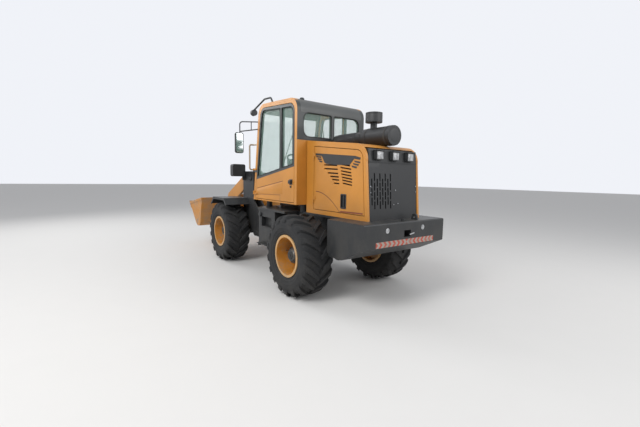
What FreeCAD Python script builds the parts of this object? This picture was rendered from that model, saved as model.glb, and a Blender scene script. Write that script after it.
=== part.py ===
import FreeCAD, Part
import math
import os
import re
import Sketcher

# Articulated wheel loader with a closed cab, a rear engine hood and a front bucket.
# Frame: millimetres, +X forward, +Y to the left, +Z up. The origin lies on the ground
# at the middle of the loader's length. Every size is a named cell of the sheet, and
# every place is an expression on those cells.

SIZES = [
    # name, value, what it sets
    ("rear_axle_x", -1535, "rear axle line"),
    ("wheel_base", 2400, "rear axle to front axle"),
    ("tyre_radius", 535, "over the lugs"),
    ("tyre_inner_y", 535, "inner side of a tyre"),
    ("tyre_width", 410, "over the side walls"),
    ("lug_depth", 32, "tread depth at the middle of the tyre"),
    ("lug_width", 38, "width of a tread bar"),
    ("lug_lean", 29, "lean of a tread bar, in degrees"),
    ("rim_radius", 254, "bead seat"),
    ("rim_lip_radius", 274, "over the rim lip"),
    ("rim_wall", 14, "rim plate thickness"),
    ("rim_disc_y", 650, "inner face of the wheel disc"),
    ("hub_radius", 118, "planetary hub"),
    ("hub_outer_y", 850, "outer face of the planetary hub"),
    ("spindle_radius", 50, "axle end inside the hub"),
    ("running_gap", 0.3, "radial clearance of pins, spindles and rods"),
    ("axle_tube_radius", 85, "axle housing"),
    ("axle_end_y", 560, "outer end of the axle housing"),
    ("diff_radius", 165, "differential housing"),
    ("rail_y", 300, "inner face of a rear frame rail"),
    ("rail_plate", 35, "rear rail thickness"),
    ("rail_bottom", 700, "underside of the rear rails"),
    ("deck_bottom", 1030, "top of the rails and underside of the deck"),
    ("deck_plate", 30, "deck thickness"),
    ("deck_half", 455, "half width beside the engine"),
    ("step_half", 700, "half width of the platform under the cab"),
    ("cab_rear", 250, "rear wall, ahead of the rear axle"),
    ("cab_front_low", 1603, "front wall at the floor, ahead of the rear axle"),
    ("cab_front_top", 1395, "front corner of the roof"),
    ("cab_floor", 1165, "underside of the cab"),
    ("cab_roof_rear", 2620, "roof at the rear wall"),
    ("cab_roof_front", 2690, "roof at the front corner"),
    ("cab_half", 611, "half width of the cab"),
    ("cab_wall", 45, "wall, door and roof thickness"),
    ("cab_corner", 180, "outer corner radius of the side arch"),
    ("arch_width", 62, "width of the side arch round the door"),
    ("roof_half", 549, "half width of the roof panel between the arches"),
    ("floor_plate", 40, "cab floor thickness"),
    ("door_gap", 8, "gap round a door"),
    ("door_hinge_x", 1570, "door hinge line, ahead of the rear axle"),
    ("door_hinge_y", 625, "door hinge line, to the left"),
    ("sill_front", 1522, "door glass sill at the front post"),
    ("sill_rear", 1745, "door glass sill at the rear post"),
    ("post_width", 50, "bar between the two side windows"),
    ("post_x", 665, "rear edge of that bar, ahead of the rear axle"),
    ("glass", 6, "glass thickness"),
    ("rear_window_low", 2105, "rear window sill"),
    ("rear_header", 190, "rear wall above the rear window"),
    ("front_window_low", 1560, "windscreen sill"),
    ("front_header", 130, "front wall above the windscreen"),
    ("rear_bar", 46, "bar between the two rear panes"),
    ("rack_radius", 14, "tube of the roof lamp bracket"),
    ("rack_rise", 105, "top of the bracket above the roof's front corner"),
    ("rack_y", 505, "the bracket, to the left"),
    ("rack_reach", 400, "lamp ahead of the roof's front corner"),
    ("ring_radius", 190, "steering wheel"),
    ("ring_bar", 15, "steering wheel rim"),
    ("mirror_tube", 9, "mirror arm tube"),
    ("mirror_out_y", 850, "mirror head tube"),
    ("rail_tube", 13, "grab rail tube"),
    ("rail_low", 1662, "lower end of a grab rail"),
    ("rail_high", 2075, "upper end of a grab rail"),
    ("hood_half", 450, "half width of the hood"),
    ("hood_rear", -985, "rear edge of the hood at its foot"),
    ("hood_rear_top", -930, "rear edge of the hood at its shoulder"),
    ("hood_top_front", 2050, "hood height at the cab"),
    ("hood_top_rear", 1925, "hood height at the rear corner"),
    ("hood_skin", 30, "hood side and top thickness"),
    ("hood_corner", 190, "rear top corner radius"),
    ("guard_half", 412, "half width of the radiator guard"),
    ("guard_top", 1880, "top of the radiator guard"),
    ("guard_plate", 25, "radiator guard thickness"),
    ("slot_width", 18, "ventilation slot in the radiator guard"),
    ("slot_height", 90, "ventilation slot in the radiator guard"),
    ("slot_pitch", 44, "side step of the ventilation slots"),
    ("louvre_height", 18, "air slot in an engine door"),
    ("pull_x", -556, "engine door pull, from the rear axle"),
    ("pull_z", 1262, "height of that pull"),
    ("engine_hinge_out", 10, "engine door hinge line, outside the hood"),
    ("weight_half", 692, "half width of the counterweight"),
    ("weight_rear", -1180, "rear face of the counterweight"),
    ("weight_front", -562, "front face of the counterweight"),
    ("weight_foot", 620, "underside of the counterweight"),
    ("weight_lip", 785, "lower edge of its rear face"),
    ("weight_slope_x", -830, "front end of its sloping underside"),
    ("engine_half", 250, "half width of the engine block"),
    ("engine_top", 1660, "top of the engine block"),
    ("gearbox_half", 215, "half width of the gearbox"),
    ("shaft_z", 760, "height of the shaft through the pivot"),
    ("shaft_radius", 32, "propeller shaft"),
    ("hinge_tongue", 40, "thickness of a pivot tongue"),
    ("hinge_upper", 900, "underside of the upper tongue"),
    ("hinge_lower", 590, "underside of the lower tongue"),
    ("hinge_plate", 30, "thickness of a pivot fork plate"),
    ("hinge_gap", 2, "clearance beside a tongue"),
    ("hinge_radius", 110, "round end at the pivot"),
    ("pivot_pin", 32, "radius of the pivot pins"),
    ("bulkhead", 280, "pivot to the front frame's rear wall"),
    ("front_half", 355, "half width over the front frame plates"),
    ("front_plate", 30, "front frame plate thickness"),
    ("front_frame_low", 620, "underside of the front frame"),
    ("front_frame_top", 950, "top of the front frame"),
    ("front_frame_nose", 160, "front axle to the front frame's front end"),
    ("boom_pivot_x", -430, "boom pin, from the front axle"),
    ("boom_pivot_z", 1520, "boom pin height"),
    ("boom_inner", 385, "inner face of a boom arm"),
    ("boom_plate", 50, "boom arm thickness"),
    ("boom_boss", 105, "round end at the boom pin"),
    ("boom_pin", 30, "radius of the boom, bucket and rocker pins"),
    ("tower_outer", 495, "outer face of the tower"),
    ("tower_rear", -550, "rear edge of the tower, from the front axle"),
    ("tower_front", -110, "front edge of the tower, from the front axle"),
    ("tower_top", 1640, "top of the tower"),
    ("tip_x", 1000, "bucket pin, from the front axle"),
    ("tip_z", 640, "bucket pin height"),
    ("link_pin_dx", -214.5, "link pin, from the bucket pin"),
    ("link_pin_dz", 180, "link pin, from the bucket pin"),
    ("rocker_x", 580, "rocker pin, from the front axle"),
    ("rocker_z", 1120, "rocker pin height"),
    ("rocker_tip_dx", 199, "rocker's link pin, from the rocker pin"),
    ("rocker_tip_dz", 300, "rocker's link pin, from the rocker pin"),
    ("rocker_head_dx", -130, "rocker's cylinder pin, from the rocker pin"),
    ("rocker_head_dz", 270, "rocker's cylinder pin, from the rocker pin"),
    ("rocker_plate", 20, "thickness of a rocker plate"),
    ("rocker_space", 66, "space between the rocker plates"),
    ("tilt_base_dx", 90, "tilt cylinder pin, from the boom pin"),
    ("tilt_base_dz", 50, "tilt cylinder pin, from the boom pin"),
    ("tilt_radius", 50, "tilt cylinder barrel"),
    ("tilt_rod", 26, "tilt cylinder rod"),
    ("lift_base_dx", -220, "lift cylinder pin, from the boom pin"),
    ("lift_base_dz", -960, "lift cylinder pin, from the boom pin"),
    ("lift_eye_dx", 331, "lift rod eye, from the boom pin"),
    ("lift_eye_dz", -258.6, "lift rod eye, from the boom pin"),
    ("lift_radius", 45, "lift cylinder barrel"),
    ("lift_rod", 22, "lift cylinder rod"),
    ("steer_base", -420, "steering cylinder pin, from the pivot"),
    ("steer_eye", 200, "steering rod eye, from the pivot"),
    ("steer_y", 240, "steering cylinder line"),
    ("steer_z", 820, "steering cylinder height"),
    ("steer_radius", 34, "steering cylinder barrel"),
    ("steer_rod", 17, "steering cylinder rod"),
    ("bucket_half", 940, "half width of the bucket"),
    ("bucket_plate", 16, "bucket shell thickness"),
    ("bucket_side", 20, "bucket side plate thickness"),
    ("fender_top", 1160, "top of a front mudguard"),
    ("fender_plate", 12, "front mudguard thickness"),
    ("tank_inner", 480, "inner face of the tanks"),
    ("tank_corner", 40, "edge radius of the tanks"),
    ("step_depth", 70, "tread of a step"),
    ("step_length", 300, "length of a step"),
    ("step_low", 520, "top of the lower step"),
    ("step_high", 775, "top of the upper step"),
    ("tank_outer", 690, "outer face of the tanks"),
    ("tank_low", 450, "underside of the tanks"),
    ("cleaner_radius", 118, "air cleaner drum"),
    ("duct_radius", 88, "duct ahead of the drum"),
    ("cleaner_z", 2055, "air cleaner height"),
]

doc = FreeCAD.newDocument("wheel_loader")
sheet = doc.addObject("Spreadsheet::Sheet", "dims")
for row, (alias, value, note) in enumerate(SIZES, start=1):
    sheet.set(f"A{row}", note)
    sheet.set(f"B{row}", str(value))
    sheet.setAlias(f"B{row}", alias)
doc.recompute()

ALIAS = re.compile(r"\b(" + "|".join(alias for alias, _, _ in SIZES) + r")\b")
AXES = {"X": FreeCAD.Vector(1, 0, 0), "Y": FreeCAD.Vector(0, 1, 0), "Z": FreeCAD.Vector(0, 0, 1)}
nodes = []

# Datums, as expressions on the sheet.
REAR = "rear_axle_x"
FRONT = "(rear_axle_x + wheel_base)"
PIVOT = "(rear_axle_x + wheel_base / 2)"
BOOM_X = f"({FRONT} + boom_pivot_x)"
TIP_X = f"({FRONT} + tip_x)"
ROCKER_X = f"({FRONT} + rocker_x)"
WHEEL_CENTRE_Y = "(tyre_inner_y + tyre_width / 2)"
FRONT_LEAN = "((cab_front_low - cab_front_top) / (cab_roof_front - cab_floor))"

# Counts of what repeats.
SECTORS = 24
LUGS = 18


def bound(expression):
    """The expression with each size written as a cell of the sheet."""
    return ALIAS.sub(r"dims.\1", str(expression))


def value(expression):
    """The expression's value in millimetres or degrees."""
    return float(sheet.evalExpression(str(expression)))


def bind(obj, prop, expression):
    obj.setExpression(prop, bound(expression))


def add(type_name, name):
    return doc.addObject(type_name, name)


def move(obj, x="0", y="0", z="0", axis=None, angle="0"):
    """Places an object, turned about one axis by an angle in degrees."""
    if axis:
        obj.Placement = FreeCAD.Placement(FreeCAD.Vector(), FreeCAD.Rotation(AXES[axis], 1.0))
        bind(obj, "Placement.Rotation.Angle", f"({angle}) * 1 deg")
    for letter, expression in zip("xyz", (x, y, z)):
        bind(obj, f"Placement.Base.{letter}", expression)
    return obj


def box(name, x, y, z):
    """A block; x, y and z are (low, high) pairs of expressions."""
    block = add("Part::Box", name)
    for prop, (low, high) in zip(("Length", "Width", "Height"), (x, y, z)):
        bind(block, prop, f"({high}) - ({low})")
    return move(block, x[0], y[0], z[0])


def cylinder(name, axis, centre, radius, low, high):
    """A cylinder along a row axis; centre holds the two other coordinates."""
    rod = add("Part::Cylinder", name)
    bind(rod, "Radius", radius)
    bind(rod, "Height", f"({high}) - ({low})")
    if axis == "X":
        turn = FreeCAD.Rotation(AXES["Y"], 90)
        place = (low, centre[0], centre[1])
    elif axis == "Y":
        turn = FreeCAD.Rotation(AXES["X"], -90)
        place = (centre[0], low, centre[1])
    else:
        turn = FreeCAD.Rotation()
        place = (centre[0], centre[1], low)
    rod.Placement = FreeCAD.Placement(FreeCAD.Vector(), turn)
    return move(rod, *place)


def origin_plane(body, role):
    return [item for item in body.Origin.OriginFeatures if item.Role == role][0]


def sketch_on(body, name, plane, offset=("0", "0", "0")):
    sketch = body.newObject("Sketcher::SketchObject", name)
    sketch.AttachmentSupport = [(origin_plane(body, plane + "_Plane"), "")]
    sketch.MapMode = "FlatFace"
    for letter, expression in zip("xyz", offset):
        bind(sketch, f"AttachmentOffset.Base.{letter}", expression)
    return sketch


def draw_outline(sketch, points):
    """A closed outline of straight edges whose corners are bound to the sheet."""
    first = sketch.GeometryCount
    corners = [FreeCAD.Vector(value(u), value(v), 0) for u, v in points]
    count = len(corners)
    for i in range(count):
        sketch.addGeometry(Part.LineSegment(corners[i], corners[(i + 1) % count]), False)
    for i in range(count):
        follower = first + (i + 1) % count
        sketch.addConstraint(Sketcher.Constraint("Coincident", first + i, 2, follower, 1))
    for i, (u, v) in enumerate(points):
        for kind, expression in (("DistanceX", u), ("DistanceY", v)):
            rule = Sketcher.Constraint(kind, -1, 1, first + i, 1, value(expression))
            bind(sketch, f"Constraints[{sketch.addConstraint(rule)}]", expression)


def draw_circle(sketch, u, v, radius):
    centre = FreeCAD.Vector(value(u), value(v), 0)
    ring = sketch.addGeometry(Part.Circle(centre, AXES["Z"], value(radius)), False)
    for kind, expression in (("DistanceX", u), ("DistanceY", v)):
        rule = Sketcher.Constraint(kind, -1, 1, ring, 3, value(expression))
        bind(sketch, f"Constraints[{sketch.addConstraint(rule)}]", expression)
    rule = Sketcher.Constraint("Radius", ring, value(radius))
    bind(sketch, f"Constraints[{sketch.addConstraint(rule)}]", radius)


def corner_edges(shape, plane, points):
    """Names of the edges that run along the pad at the given outline corners."""
    index = {"XY": (0, 1), "XZ": (0, 2), "YZ": (1, 2)}[plane]
    names = []
    for u, v in points:
        for number, edge in enumerate(shape.Edges, start=1):
            ends = [vertex.Point for vertex in edge.Vertexes]
            if len(ends) == 2 and all(
                abs(end[index[0]] - value(u)) < 0.01 and abs(end[index[1]] - value(v)) < 0.01
                for end in ends
            ):
                names.append(f"Edge{number}")
    return names


def prism(name, plane, points, low, high, holes=(), rounds=()):
    """A plate or block: an outline in a row plane, padded from low to high.

    holes are (u, v, radius); rounds are (corner numbers, radius).
    """
    body = add("PartDesign::Body", name)
    away = f"-({high})" if plane == "XZ" else low
    sketch = sketch_on(body, name + "_outline", plane, ("0", "0", away))
    draw_outline(sketch, points)
    for hole in holes:
        draw_circle(sketch, *hole)
    pad = body.newObject("PartDesign::Pad", name + "_pad")
    pad.Profile = sketch
    bind(pad, "Length", f"({high}) - ({low})")
    body.Tip = pad
    doc.recompute()
    for number, (corners, radius) in enumerate(rounds):
        solid = body.Tip
        edges = corner_edges(solid.Shape, plane, [points[i] for i in corners])
        fillet = body.newObject("PartDesign::Fillet", f"{name}_round{number}")
        fillet.Base = (solid, edges)
        fillet.Radius = value(radius)
        bind(fillet, "Radius", radius)
        body.Tip = fillet
        doc.recompute()
    return body


def turned(name, centre, profile):
    """A solid turned about an axis along Y; profile rows are (y, radius)."""
    body = add("PartDesign::Body", name)
    sketch = sketch_on(body, name + "_profile", "YZ", ("0", centre[1], centre[0]))
    draw_outline(sketch, profile)
    spin = body.newObject("PartDesign::Revolution", name + "_turn")
    spin.Profile = sketch
    spin.ReferenceAxis = (sketch, ["H_Axis"])
    spin.Angle = 360
    body.Tip = spin
    doc.recompute()
    return body


def fuse(name, shapes):
    joined = add("Part::MultiFuse", name)
    joined.Shapes = list(shapes)
    joined.Refine = True
    return joined


def cut(name, base, tool):
    rest = add("Part::Cut", name)
    rest.Base = base
    rest.Tool = tool
    return rest


def common(name, first, second):
    both = add("Part::Common", name)
    both.Base = first
    both.Tool = second
    return both


def group(name, shapes):
    """Several solids that don't touch, as one piece."""
    pieces = add("Part::Compound", name)
    pieces.Links = list(shapes)
    return pieces


def mirrored(name, source):
    """The same piece on the other side of the loader."""
    twin = add("Part::Mirroring", name)
    twin.Source = source
    twin.Normal = AXES["Y"]
    twin.Base = FreeCAD.Vector(0, 0, 0)
    return twin


def both_sides(name, source):
    return group(name, [source, mirrored(name + "_right", source)])


def spun(name, source, centre, angle):
    """A copy of a piece turned about a line along Y through (x, z)."""
    turned_copy = add("Part::Compound", name)
    turned_copy.Links = [source]
    x, z = centre
    turned_copy.Placement = FreeCAD.Placement(FreeCAD.Vector(), FreeCAD.Rotation(AXES["Y"], angle))
    bind(turned_copy, "Placement.Base.x", f"({x}) * (1 - cos({angle} deg)) - ({z}) * sin({angle} deg)")
    bind(turned_copy, "Placement.Base.z", f"({x}) * sin({angle} deg) + ({z}) * (1 - cos({angle} deg))")
    return turned_copy


def bent_tube(name, points, radius, bend):
    """A round bar along straight runs joined by tangent arcs of one bend radius."""
    stops = [FreeCAD.Vector(*(value(part) for part in point)) for point in points]
    bend_radius = value(bend)
    edges = []
    start = stops[0]
    for before, corner, after in zip(stops, stops[1:], stops[2:]):
        back = (before - corner).normalize()
        ahead = (after - corner).normalize()
        half = back.getAngle(ahead) / 2
        inward = (back + ahead).normalize()
        run = bend_radius / math.tan(half)
        middle = corner + inward * (bend_radius / math.sin(half) - bend_radius)
        first, last = corner + back * run, corner + ahead * run
        edges += [Part.makeLine(start, first), Part.Arc(first, middle, last).toShape()]
        start = last
    edges.append(Part.makeLine(start, stops[-1]))
    ring = Part.Wire(Part.makeCircle(value(radius), stops[0], stops[1] - stops[0]))
    bar = add("Part::Feature", name)
    bar.Shape = Part.Wire(edges).makePipeShell([ring], True, False)
    return bar


def node(obj, label):
    obj.Label = label
    nodes.append(obj)
    return obj


def tyre_carcass(prefix, centre):
    """A ring of flat-sided sectors from bead to tread; its rows are (y, distance of the flat from the axis)."""
    bead = 170
    groove = "tyre_radius - lug_depth"
    rows = [
        (f"{WHEEL_CENTRE_Y} - {bead}", "rim_radius + running_gap"),
        (f"{WHEEL_CENTRE_Y} - {bead}", "rim_lip_radius + 8"),
        ("tyre_inner_y + 1", "tyre_radius - 150"),
        ("tyre_inner_y + 22", f"{groove} - 42"),
        ("tyre_inner_y + 90", f"{groove} - 9"),
        (WHEEL_CENTRE_Y, f"{groove} - 4"),
        ("tyre_inner_y + tyre_width - 90", f"{groove} - 9"),
        ("tyre_inner_y + tyre_width - 22", f"{groove} - 42"),
        ("tyre_inner_y + tyre_width - 1", "tyre_radius - 150"),
        (f"{WHEEL_CENTRE_Y} + {bead}", "rim_lip_radius + 8"),
        (f"{WHEEL_CENTRE_Y} + {bead}", "rim_radius + running_gap"),
    ]
    half_turn = 180 / SECTORS
    profile = [(y, f"tyre_radius + ({radius})") for y, radius in rows]
    slab = prism(f"{prefix}_tyre_slab", "YZ", profile, f"{centre[0]} - 90", f"{centre[0]} + 90")
    reach = "(tyre_radius + 60)"
    sector = prism(
        f"{prefix}_tyre_sector",
        "XZ",
        [
            (centre[0], centre[1]),
            (f"{centre[0]} + {reach} * tan({half_turn} deg)", f"{centre[1]} + {reach}"),
            (f"{centre[0]} - {reach} * tan({half_turn} deg)", f"{centre[1]} + {reach}"),
        ],
        "tyre_inner_y - 10",
        "tyre_inner_y + tyre_width + 10",
    )
    wedge = common(f"{prefix}_tyre_wedge", slab, sector)
    return [spun(f"{prefix}_sector{i}", wedge, centre, (i + 0.5) * 2 * half_turn) for i in range(SECTORS)]


def tread_bars(prefix, centre):
    """Leaning bars on both halves; the two lowest stand evenly about the ground point."""
    lean = "tan(lug_lean * 1 deg)"
    shoulder = "(tyre_width / 2)"
    tops = [
        # share of the half width, drop of the bar's top below the tyre's radius
        (0.02, 0), (0.62, 8), (0.86, 24), (0.995, 88), (0.96, 120),
    ]
    bars = []
    for side, half_pitch in ((1, 0.5), (-1, -0.5)):
        outline = [(f"{WHEEL_CENTRE_Y} + {side} * {share} * {shoulder}", f"{centre[1]} + tyre_radius - {drop}")
                   for share, drop in tops]
        outline.append((f"{WHEEL_CENTRE_Y} + {side} * 0.02 * {shoulder}", f"{centre[1]} + tyre_radius - lug_depth - 30"))
        blank = prism(f"{prefix}_bar_blank{side}", "YZ", outline, f"{centre[0]} - 150", f"{centre[0]} + 150")
        far = f"{side} * {shoulder} * 1.1"
        run = f"({shoulder} * 1.1 * {lean})"
        zone = prism(
            f"{prefix}_bar_zone{side}",
            "XY",
            [
                (f"{centre[0]} - lug_width / 2", WHEEL_CENTRE_Y),
                (f"{centre[0]} + lug_width / 2", WHEEL_CENTRE_Y),
                (f"{centre[0]} + lug_width * 0.62 + {run}", f"{WHEEL_CENTRE_Y} + {far}"),
                (f"{centre[0]} - lug_width * 0.62 + {run}", f"{WHEEL_CENTRE_Y} + {far}"),
            ],
            f"{centre[1]} + tyre_radius - lug_depth - 130",
            f"{centre[1]} + tyre_radius + 10",
        )
        bar = common(f"{prefix}_bar{side}", blank, zone)
        for i in range(LUGS):
            bars.append(spun(f"{prefix}_lug{side}_{i}".replace("-", "m"), bar, centre, (i + half_pitch / 2) * 360 / LUGS))
    return bars


def wheel(prefix, axle_x):
    """One tyre with its tread on its rim with the planetary hub; the right pair is mirrored."""
    centre = (axle_x, "tyre_radius")
    tyre = fuse(f"{prefix}_tyre_solid", tyre_carcass(prefix, centre) + tread_bars(prefix, centre))
    lip_low = f"{WHEEL_CENTRE_Y} - 186"
    lip_high = f"{WHEEL_CENTRE_Y} + 186"
    rim = turned(
        f"{prefix}_rim_solid",
        centre,
        [
            ("axle_end_y + 6", "spindle_radius + running_gap"),
            ("axle_end_y + 6", "hub_radius"),
            ("rim_disc_y", "hub_radius"),
            ("rim_disc_y", "rim_radius - rim_wall"),
            (f"{lip_low}", "rim_radius - rim_wall"),
            (f"{lip_low}", "rim_lip_radius"),
            (f"{lip_low} + rim_wall", "rim_lip_radius"),
            (f"{lip_low} + rim_wall", "rim_radius"),
            (f"{lip_high} - rim_wall", "rim_radius"),
            (f"{lip_high} - rim_wall", "rim_lip_radius"),
            (f"{lip_high}", "rim_lip_radius"),
            (f"{lip_high}", "rim_radius - rim_wall"),
            ("rim_disc_y + 20", "rim_radius - rim_wall"),
            ("rim_disc_y + 20", "hub_radius + 12"),
            ("hub_outer_y - 40", "hub_radius - 8"),
            ("hub_outer_y", "hub_radius - 45"),
            ("hub_outer_y", "0"),
            ("axle_end_y + 80", "0"),
            ("axle_end_y + 80", "spindle_radius + running_gap"),
        ],
    )
    for label, solid in (("tyre", tyre), ("rim", rim)):
        node(solid, f"{label}_{prefix}_left")
        node(mirrored(f"{prefix}_{label}_right", solid), f"{label}_{prefix}_right")


def axle(prefix, axle_x, nose):
    """A drive axle: housing, differential, pinion nose and the spindles."""
    centre = (axle_x, "tyre_radius")
    reach = "axle_end_y + 70"
    parts = [
        cylinder(f"{prefix}_tube", "Y", centre, "axle_tube_radius", "-axle_end_y", "axle_end_y"),
        cylinder(f"{prefix}_spindle", "Y", centre, "spindle_radius", f"-({reach})", reach),
        turned(
            f"{prefix}_diff",
            centre,
            [
                ("-170", "0"),
                ("-170", "axle_tube_radius + 10"),
                ("-70", "diff_radius"),
                ("70", "diff_radius"),
                ("170", "axle_tube_radius + 10"),
                ("170", "0"),
            ],
        ),
    ]
    low, high = nose
    nose_centre = ("0", "tyre_radius")
    parts.append(cylinder(f"{prefix}_nose", "X", nose_centre, "70", low, high))
    for side in (1, -1):
        y = (f"{side} * 500 - 30", f"{side} * 500 + 30")
        parts.append(cylinder(f"{prefix}_flange{side}", "Y", centre, "axle_tube_radius + 25", *y))
    return parts


def rear_axle():
    nose = (f"{REAR}", f"{REAR} + 215")
    parts = axle("rear_axle", REAR, nose)
    trunnion = cylinder("rear_trunnion", "X", ("0", "tyre_radius"), "60", f"{REAR} - 275", f"{REAR} + 275")
    node(fuse("rear_axle_solid", parts + [trunnion]), "rear_axle")


def front_axle():
    parts = axle("front_axle", FRONT, (f"{FRONT} - 250", FRONT))
    for side in (1, -1):
        y = sorted((f"{side} * (front_half - front_plate)", f"{side} * front_half"), key=value)
        x = (f"{FRONT} - 110", f"{FRONT} + 110")
        parts.append(box(f"front_axle_pad{side}", x, tuple(y), ("tyre_radius", "front_frame_low")))
    node(fuse("front_axle_solid", parts), "front_axle")


def rear_frame():
    """Two rails with cross members, the deck, axle bearings and the pivot fork."""
    parts = []
    rail = prism(
        "rear_rail",
        "XZ",
        [
            (f"{REAR} + weight_front", "rail_bottom + 60"),
            (f"{REAR} - 330", "rail_bottom"),
            (f"{PIVOT} - 410", "rail_bottom"),
            (f"{PIVOT} - 340", "rail_bottom + 60"),
            (f"{PIVOT} - 340", "deck_bottom"),
            (f"{REAR} + weight_front", "deck_bottom"),
        ],
        "rail_y",
        "rail_y + rail_plate",
    )
    parts += [rail, mirrored("rear_rail_right", rail)]
    inside = ("-rail_y", "rail_y")
    cross_members = [
        # name, rear face from the rear axle, front face, underside, top
        ("tail", "weight_front", "weight_front + 40", "rail_bottom + 60", "deck_bottom"),
        ("engine_rear", "-420", "-360", "rail_bottom + 60", "rail_bottom + 150"),
        ("engine_front", "60", "120", "rail_bottom + 60", "rail_bottom + 150"),
    ]
    for name, back, front, low, high in cross_members:
        x = (f"{REAR} + {back}", f"{REAR} + {front}")
        parts.append(box(f"cross_{name}", x, inside, (low, high)))
    for number, back in enumerate(("-262", "222")):
        bearing = prism(
            f"axle_bearing{number}",
            "YZ",
            [
                ("-rail_y - 5", "rail_bottom + 140"),
                ("-rail_y - 5", "rail_bottom + 20"),
                ("-110", "tyre_radius - 85"),
                ("110", "tyre_radius - 85"),
                ("rail_y + 5", "rail_bottom + 20"),
                ("rail_y + 5", "rail_bottom + 140"),
            ],
            f"{REAR} + {back}",
            f"{REAR} + {back} + 40",
            holes=[("0", "tyre_radius", "60 + running_gap")],
        )
        parts.append(bearing)
    fork = [
        (f"{PIVOT} - 520", "-rail_y"),
        (f"{PIVOT} - 260", "-rail_y"),
        (f"{PIVOT}", "-hinge_radius"),
        (f"{PIVOT} + hinge_radius", "-hinge_radius"),
        (f"{PIVOT} + hinge_radius", "hinge_radius"),
        (f"{PIVOT}", "hinge_radius"),
        (f"{PIVOT} - 260", "rail_y"),
        (f"{PIVOT} - 520", "rail_y"),
    ]
    levels = [
        # name, underside of the plate
        ("upper_high", "hinge_upper + hinge_tongue + hinge_gap"),
        ("upper_low", "hinge_upper - hinge_plate - hinge_gap"),
        ("lower_high", "hinge_lower + hinge_tongue + hinge_gap"),
        ("lower_low", "hinge_lower - hinge_plate - hinge_gap"),
    ]
    for name, low in levels:
        plate = prism(
            f"fork_{name}", "XY", fork, low, f"{low} + hinge_plate", rounds=[((3, 4), "hinge_radius - 1")]
        )
        parts.append(plate)
    for name, level in (("upper", "hinge_upper"), ("lower", "hinge_lower")):
        low = f"{level} - hinge_plate - hinge_gap - 10"
        high = f"{level} + hinge_tongue + hinge_plate + hinge_gap + 10"
        parts.append(cylinder(f"pivot_pin_{name}", "Z", (PIVOT, "0"), "pivot_pin", low, high))
    wall_x = (f"{PIVOT} - 520", f"{PIVOT} - 490")
    wall_z = ("hinge_lower - hinge_plate - hinge_gap", "deck_bottom")
    wall = box("fork_wall", wall_x, inside, wall_z)
    opening = box("fork_wall_opening", wall_x, ("-110", "110"), ("shaft_z - 90", "shaft_z + 90"))
    parts.append(cut("fork_back", wall, opening))
    for side in (1, -1):
        y = sorted((f"{side} * (steer_y - 30)", f"{side} * (steer_y + 30)"), key=value)
        for level, low in (("top", "steer_z + 22"), ("foot", "steer_z - 42")):
            x = (f"{PIVOT} - 490", f"{PIVOT} + steer_base + 24")
            parts.append(box(f"steer_ear_{level}{side}", x, tuple(y), (low, f"{low} + 20")))
        pin_z = ("steer_z - 50", "steer_z + 50")
        at = (f"{PIVOT} + steer_base", f"{side} * steer_y")
        parts.append(cylinder(f"steer_pin{side}", "Z", at, "14", *pin_z))
    deck = prism(
        "deck",
        "XY",
        [
            (f"{REAR} + weight_front", "-deck_half"),
            (f"{REAR} + 420", "-deck_half"),
            (f"{REAR} + 420", "-step_half"),
            (f"{PIVOT} + 60", "-step_half"),
            (f"{PIVOT} + 230", "-550"),
            (f"{PIVOT} + 230", "550"),
            (f"{PIVOT} + 60", "step_half"),
            (f"{REAR} + 420", "step_half"),
            (f"{REAR} + 420", "deck_half"),
            (f"{REAR} + weight_front", "deck_half"),
        ],
        "deck_bottom",
        "deck_bottom + deck_plate",
    )
    well_x = (f"{REAR} - 520", f"{REAR} + 200")
    well_z = ("deck_bottom", "deck_bottom + deck_plate")
    well = box("engine_well", well_x, ("-engine_half - 20", "engine_half + 20"), well_z)
    parts.append(cut("deck_open", deck, well))
    for x in ("330", "1350"):
        for y in ("-440", "440"):
            at = (f"{REAR} + {x}", y)
            low = "deck_bottom + deck_plate"
            parts.append(cylinder(f"cab_mount{x}{y}".replace("-", "m"), "Z", at, "45", low, "cab_floor"))
    node(fuse("rear_frame_solid", parts), "rear_frame")


def counterweight():
    block = prism(
        "weight_block",
        "XZ",
        [
            (f"{REAR} + weight_front", "weight_foot + 50"),
            (f"{REAR} + weight_front", "deck_bottom + deck_plate"),
            (f"{REAR} + weight_rear", "deck_bottom + deck_plate"),
            (f"{REAR} + weight_rear", "weight_lip"),
            (f"{REAR} + weight_slope_x", "weight_foot"),
            (f"{REAR} + weight_front - 50", "weight_foot"),
        ],
        "-weight_half",
        "weight_half",
        rounds=[((2, 3), "18")],
    )
    pin_at = (f"{REAR} + weight_rear + 70", "0")
    slot_x = (f"{REAR} + weight_rear - 20", f"{REAR} + weight_rear + 130")
    slot = box("tow_slot", slot_x, ("-60", "60"), ("880", "960"))
    pockets = [
        cylinder(f"tail_lamp_seat{y}".replace("-", "m"), "X", (y, "975"), "40", f"{REAR} + weight_rear - 5", f"{REAR} + weight_rear + 9")
        for y in ("329", "-283")
    ]
    opened = cut("counterweight_slotted", block, fuse("weight_cuts", [slot] + pockets))
    eye_x, eye_z = f"{REAR} + weight_rear + 95", "deck_bottom + deck_plate"
    eye = prism(
        "lifting_eye",
        "XZ",
        [(f"{eye_x} - 45", f"{eye_z} - 5"), (f"{eye_x} + 45", f"{eye_z} - 5"), (f"{eye_x} + 32", f"{eye_z} + 68"), (f"{eye_x} - 32", f"{eye_z} + 68")],
        "-250",
        "-228",
        holes=[(eye_x, f"{eye_z} + 34", "17")],
        rounds=[((2, 3), "28")],
    )
    pin = cylinder("tow_pin", "Z", pin_at, "22", "880", "deck_bottom + deck_plate + 25")
    node(fuse("counterweight_solid", [opened, pin, eye]), "counterweight")


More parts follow.
